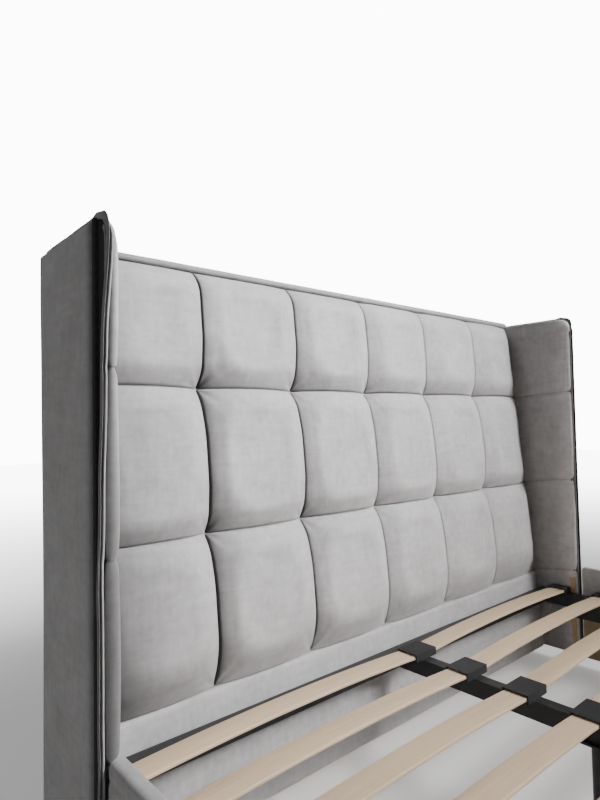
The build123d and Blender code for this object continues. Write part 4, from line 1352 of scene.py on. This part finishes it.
metal_grain = texture_group(
    "metal_grain",
    {"stains": (30, 3), "brushing": (900, 2, 1, 0.1, 1), "grit": (1100, 1)},
    {"stains": 0.3, "brushing": 0.25, "grit": 0.1}, {"grit": 1.0, "stains": 0.3})
zinc = textured_material("zinc_steel", (0.50, 0.51, 0.53), metal_grain, 1.0, 0.36, 0.15, 0.0002,
                         {"Metallic": 1.0})
powder_coat = textured_material("black_powder_coat", (0.018, 0.018, 0.019), metal_grain, 0.8, 0.42, 0.35,
                                0.0003, {"Specular IOR Level": 0.45})
moulded_plastic = textured_material("black_plastic", (0.022, 0.022, 0.023), metal_grain, 1.3, 0.55, 0.25,
                                    0.0002, {"Specular IOR Level": 0.4})

half = staple_crown / 2
staple_path = [(-half, -0.002, 0), (-half, 0.0004, 0), (-half + staple_bend, 0.001, 0),
               (half - staple_bend, 0.001, 0), (half, 0.0004, 0), (half, -0.002, 0)]
one_staple = sweep("one_staple", tube_rings(staple_path, staple_wire / 2, staple_sides), zinc)
staple_y = cloth_low[1] + cloth_gap + cloth_thickness + hem_thickness - staple_sink
random.seed(11)
places = [(x, staple_y, z) for x in staple_xs for z in (staple_zs[0], staple_zs[-1])]
turns = [(0, random.uniform(-staple_turn, staple_turn), 0) for place in places]
for z in staple_zs[1:-1]:
    for x in (staple_xs[0], staple_xs[-1]):
        places.append((x, staple_y, z))
        turns.append((0, math.pi / 2 + random.uniform(-staple_turn, staple_turn), 0))
staples = repeat_along("back_staples", one_staple, places, turns, zinc)
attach(staples, "bed_frame")


# Slats
# Bowed beech slats glued up from thin layers, with rounded edges, one mesh repeated at every pair of
# holders on each side.
slat_width = 0.053
slat_thickness = 0.008
slat_camber = 0.012
slat_round = 0.0022
slat_pieces = 36
slats_per_side = 14
layer_line = (0.42, 0.58)
layer_tones = (0.72, 1.05)

timber_grain = texture_group(
    "timber_grain",
    {"bands": (26, 3, 1, 1, 0.05), "fibres": (260, 3, 1, 1, 0.03), "pores": (600, 1, 1, 1, 0.08)},
    {"bands": 0.42, "fibres": 0.32, "pores": 0.14}, {"fibres": 0.7, "pores": 0.8})


def timber(name, colour, axes, layer, roughness=0.55):
    """Wood whose grain runs along the last of the axes and, given a layer thickness, glued in layers across
    the first.
    """
    material = textured_material(name, colour, timber_grain, 1.0, roughness, 0.3, 0.0004,
                                 {"Specular IOR Level": 0.35})
    tree = material.node_tree
    apart = new_node(tree, "ShaderNodeSeparateXYZ", {0: part_of(material, "TEX_COORD").outputs["Object"]})
    turned = new_node(tree, "ShaderNodeCombineXYZ", {
        index: apart.outputs[axis] for index, axis in enumerate(axes)})
    tree.links.new(turned.outputs[0], part_of(material, "GROUP").inputs["Vector"])
    if layer:
        count = new_node(tree, "ShaderNodeMath", {0: apart.outputs[axes[0]], 1: 1 / layer},
                         operation="MULTIPLY")
        wave = new_node(tree, "ShaderNodeMath", {0: count.outputs[0], 1: 1}, operation="PINGPONG")
        band = new_node(tree, "ShaderNodeMapRange", {
            "Value": wave.outputs[0], "From Min": layer_line[0], "From Max": layer_line[1],
            "To Min": layer_tones[0], "To Max": layer_tones[1]})
        tone(material, band.outputs["Result"])
    return material


def slat_rings(half):
    """Rings along one slat with rounded edges, bowed up in its middle."""
    rings = []
    for index in range(slat_pieces + 1):
        share = -1 + 2 * index / slat_pieces
        lift = slat_camber * (1 - share * share)
        ring = []
        for y_side, z_side in ((-1, -1), (1, -1), (1, 1), (-1, 1)):
            corner_y = y_side * (slat_width / 2 - slat_round)
            corner_z = slat_thickness / 2 + z_side * (slat_thickness / 2 - slat_round)
            for step in range(4):
                angle = math.atan2(z_side, y_side) - math.pi / 4 + math.pi / 2 * step / 3
                ring.append((half * share, corner_y + slat_round * math.cos(angle),
                             corner_z + slat_round * math.sin(angle) + lift))
        rings.append(ring)
    return rings


beech = timber("beech_slats", (0.66, 0.50, 0.34), "YZX", 0, 0.42)
for side, hand in sides:
    slat_low, slat_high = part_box(f"{hand}_slats")
    one_slat = sweep(f"{hand}_one_slat", slat_rings((slat_high[0] - slat_low[0]) / 2), beech)
    middle = (slat_high[0] + slat_low[0]) / 2
    first_y = slat_low[1] + slat_width / 2
    run = slat_high[1] - slat_width / 2 - first_y
    places = [(middle, first_y + run * index / (slats_per_side - 1), slat_low[2])
              for index in range(slats_per_side)]
    slats = repeat_along(f"{hand}_bowed_slats", one_slat, places, [(0, 0, 0)] * slats_per_side, beech)
    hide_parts(f"{hand}_slats")
    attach(slats, "bed_frame")


# Frame timber, steel and plastic
# The frame's own parts keep their solids and get wood, powder coat, zinc, plastic and felt. Each wood has
# its grain along the piece, and the plywood its glued layers across it.
ply_layer = 0.0018
pine_colour = (0.62, 0.44, 0.26)
ply_colour = (0.50, 0.36, 0.23)
pine_upright = timber("pine_upright", pine_colour, "XYZ", 0)
pine_level = timber("pine_level", pine_colour, "ZYX", 0)
ply_wing = timber("plywood_wing", ply_colour, "XYZ", ply_layer)
ply_side_rail = timber("plywood_side_rail", ply_colour, "XZY", ply_layer)
ply_foot_rail = timber("plywood_foot_rail", ply_colour, "YZX", ply_layer)
felt_fibres = texture_group("felt_fibres", {"clouds": (60, 2), "tangle": (900, 4)},
                            {"clouds": 0.3, "tangle": 0.7}, {"tangle": 1.0})
felt = textured_material("grey_felt", (0.20, 0.195, 0.19), felt_fibres, 1.0, 0.98, 0.8, 0.0006, {})
slot_finishes = {
    "velvet": velvet, "back_cloth": back_cloth, "black_steel": powder_coat, "zinc_steel": zinc,
    "black_plastic": moulded_plastic, "felt": felt, "pine": pine_level, "plywood": ply_foot_rail,
    "beech": beech,
}
node_finishes = {
    "headboard_posts": pine_upright, "left_wing_spacers": pine_upright, "right_wing_spacers": pine_upright,
    "rail_legs": pine_upright, "left_wing_board": ply_wing, "right_wing_board": ply_wing,
    "left_rail_board": ply_side_rail, "right_rail_board": ply_side_rail,
}
for name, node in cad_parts.items():
    for slot in node.material_slots:
        slot.material = node_finishes.get(name, slot_finishes[slot.material.name.split(".")[0]])
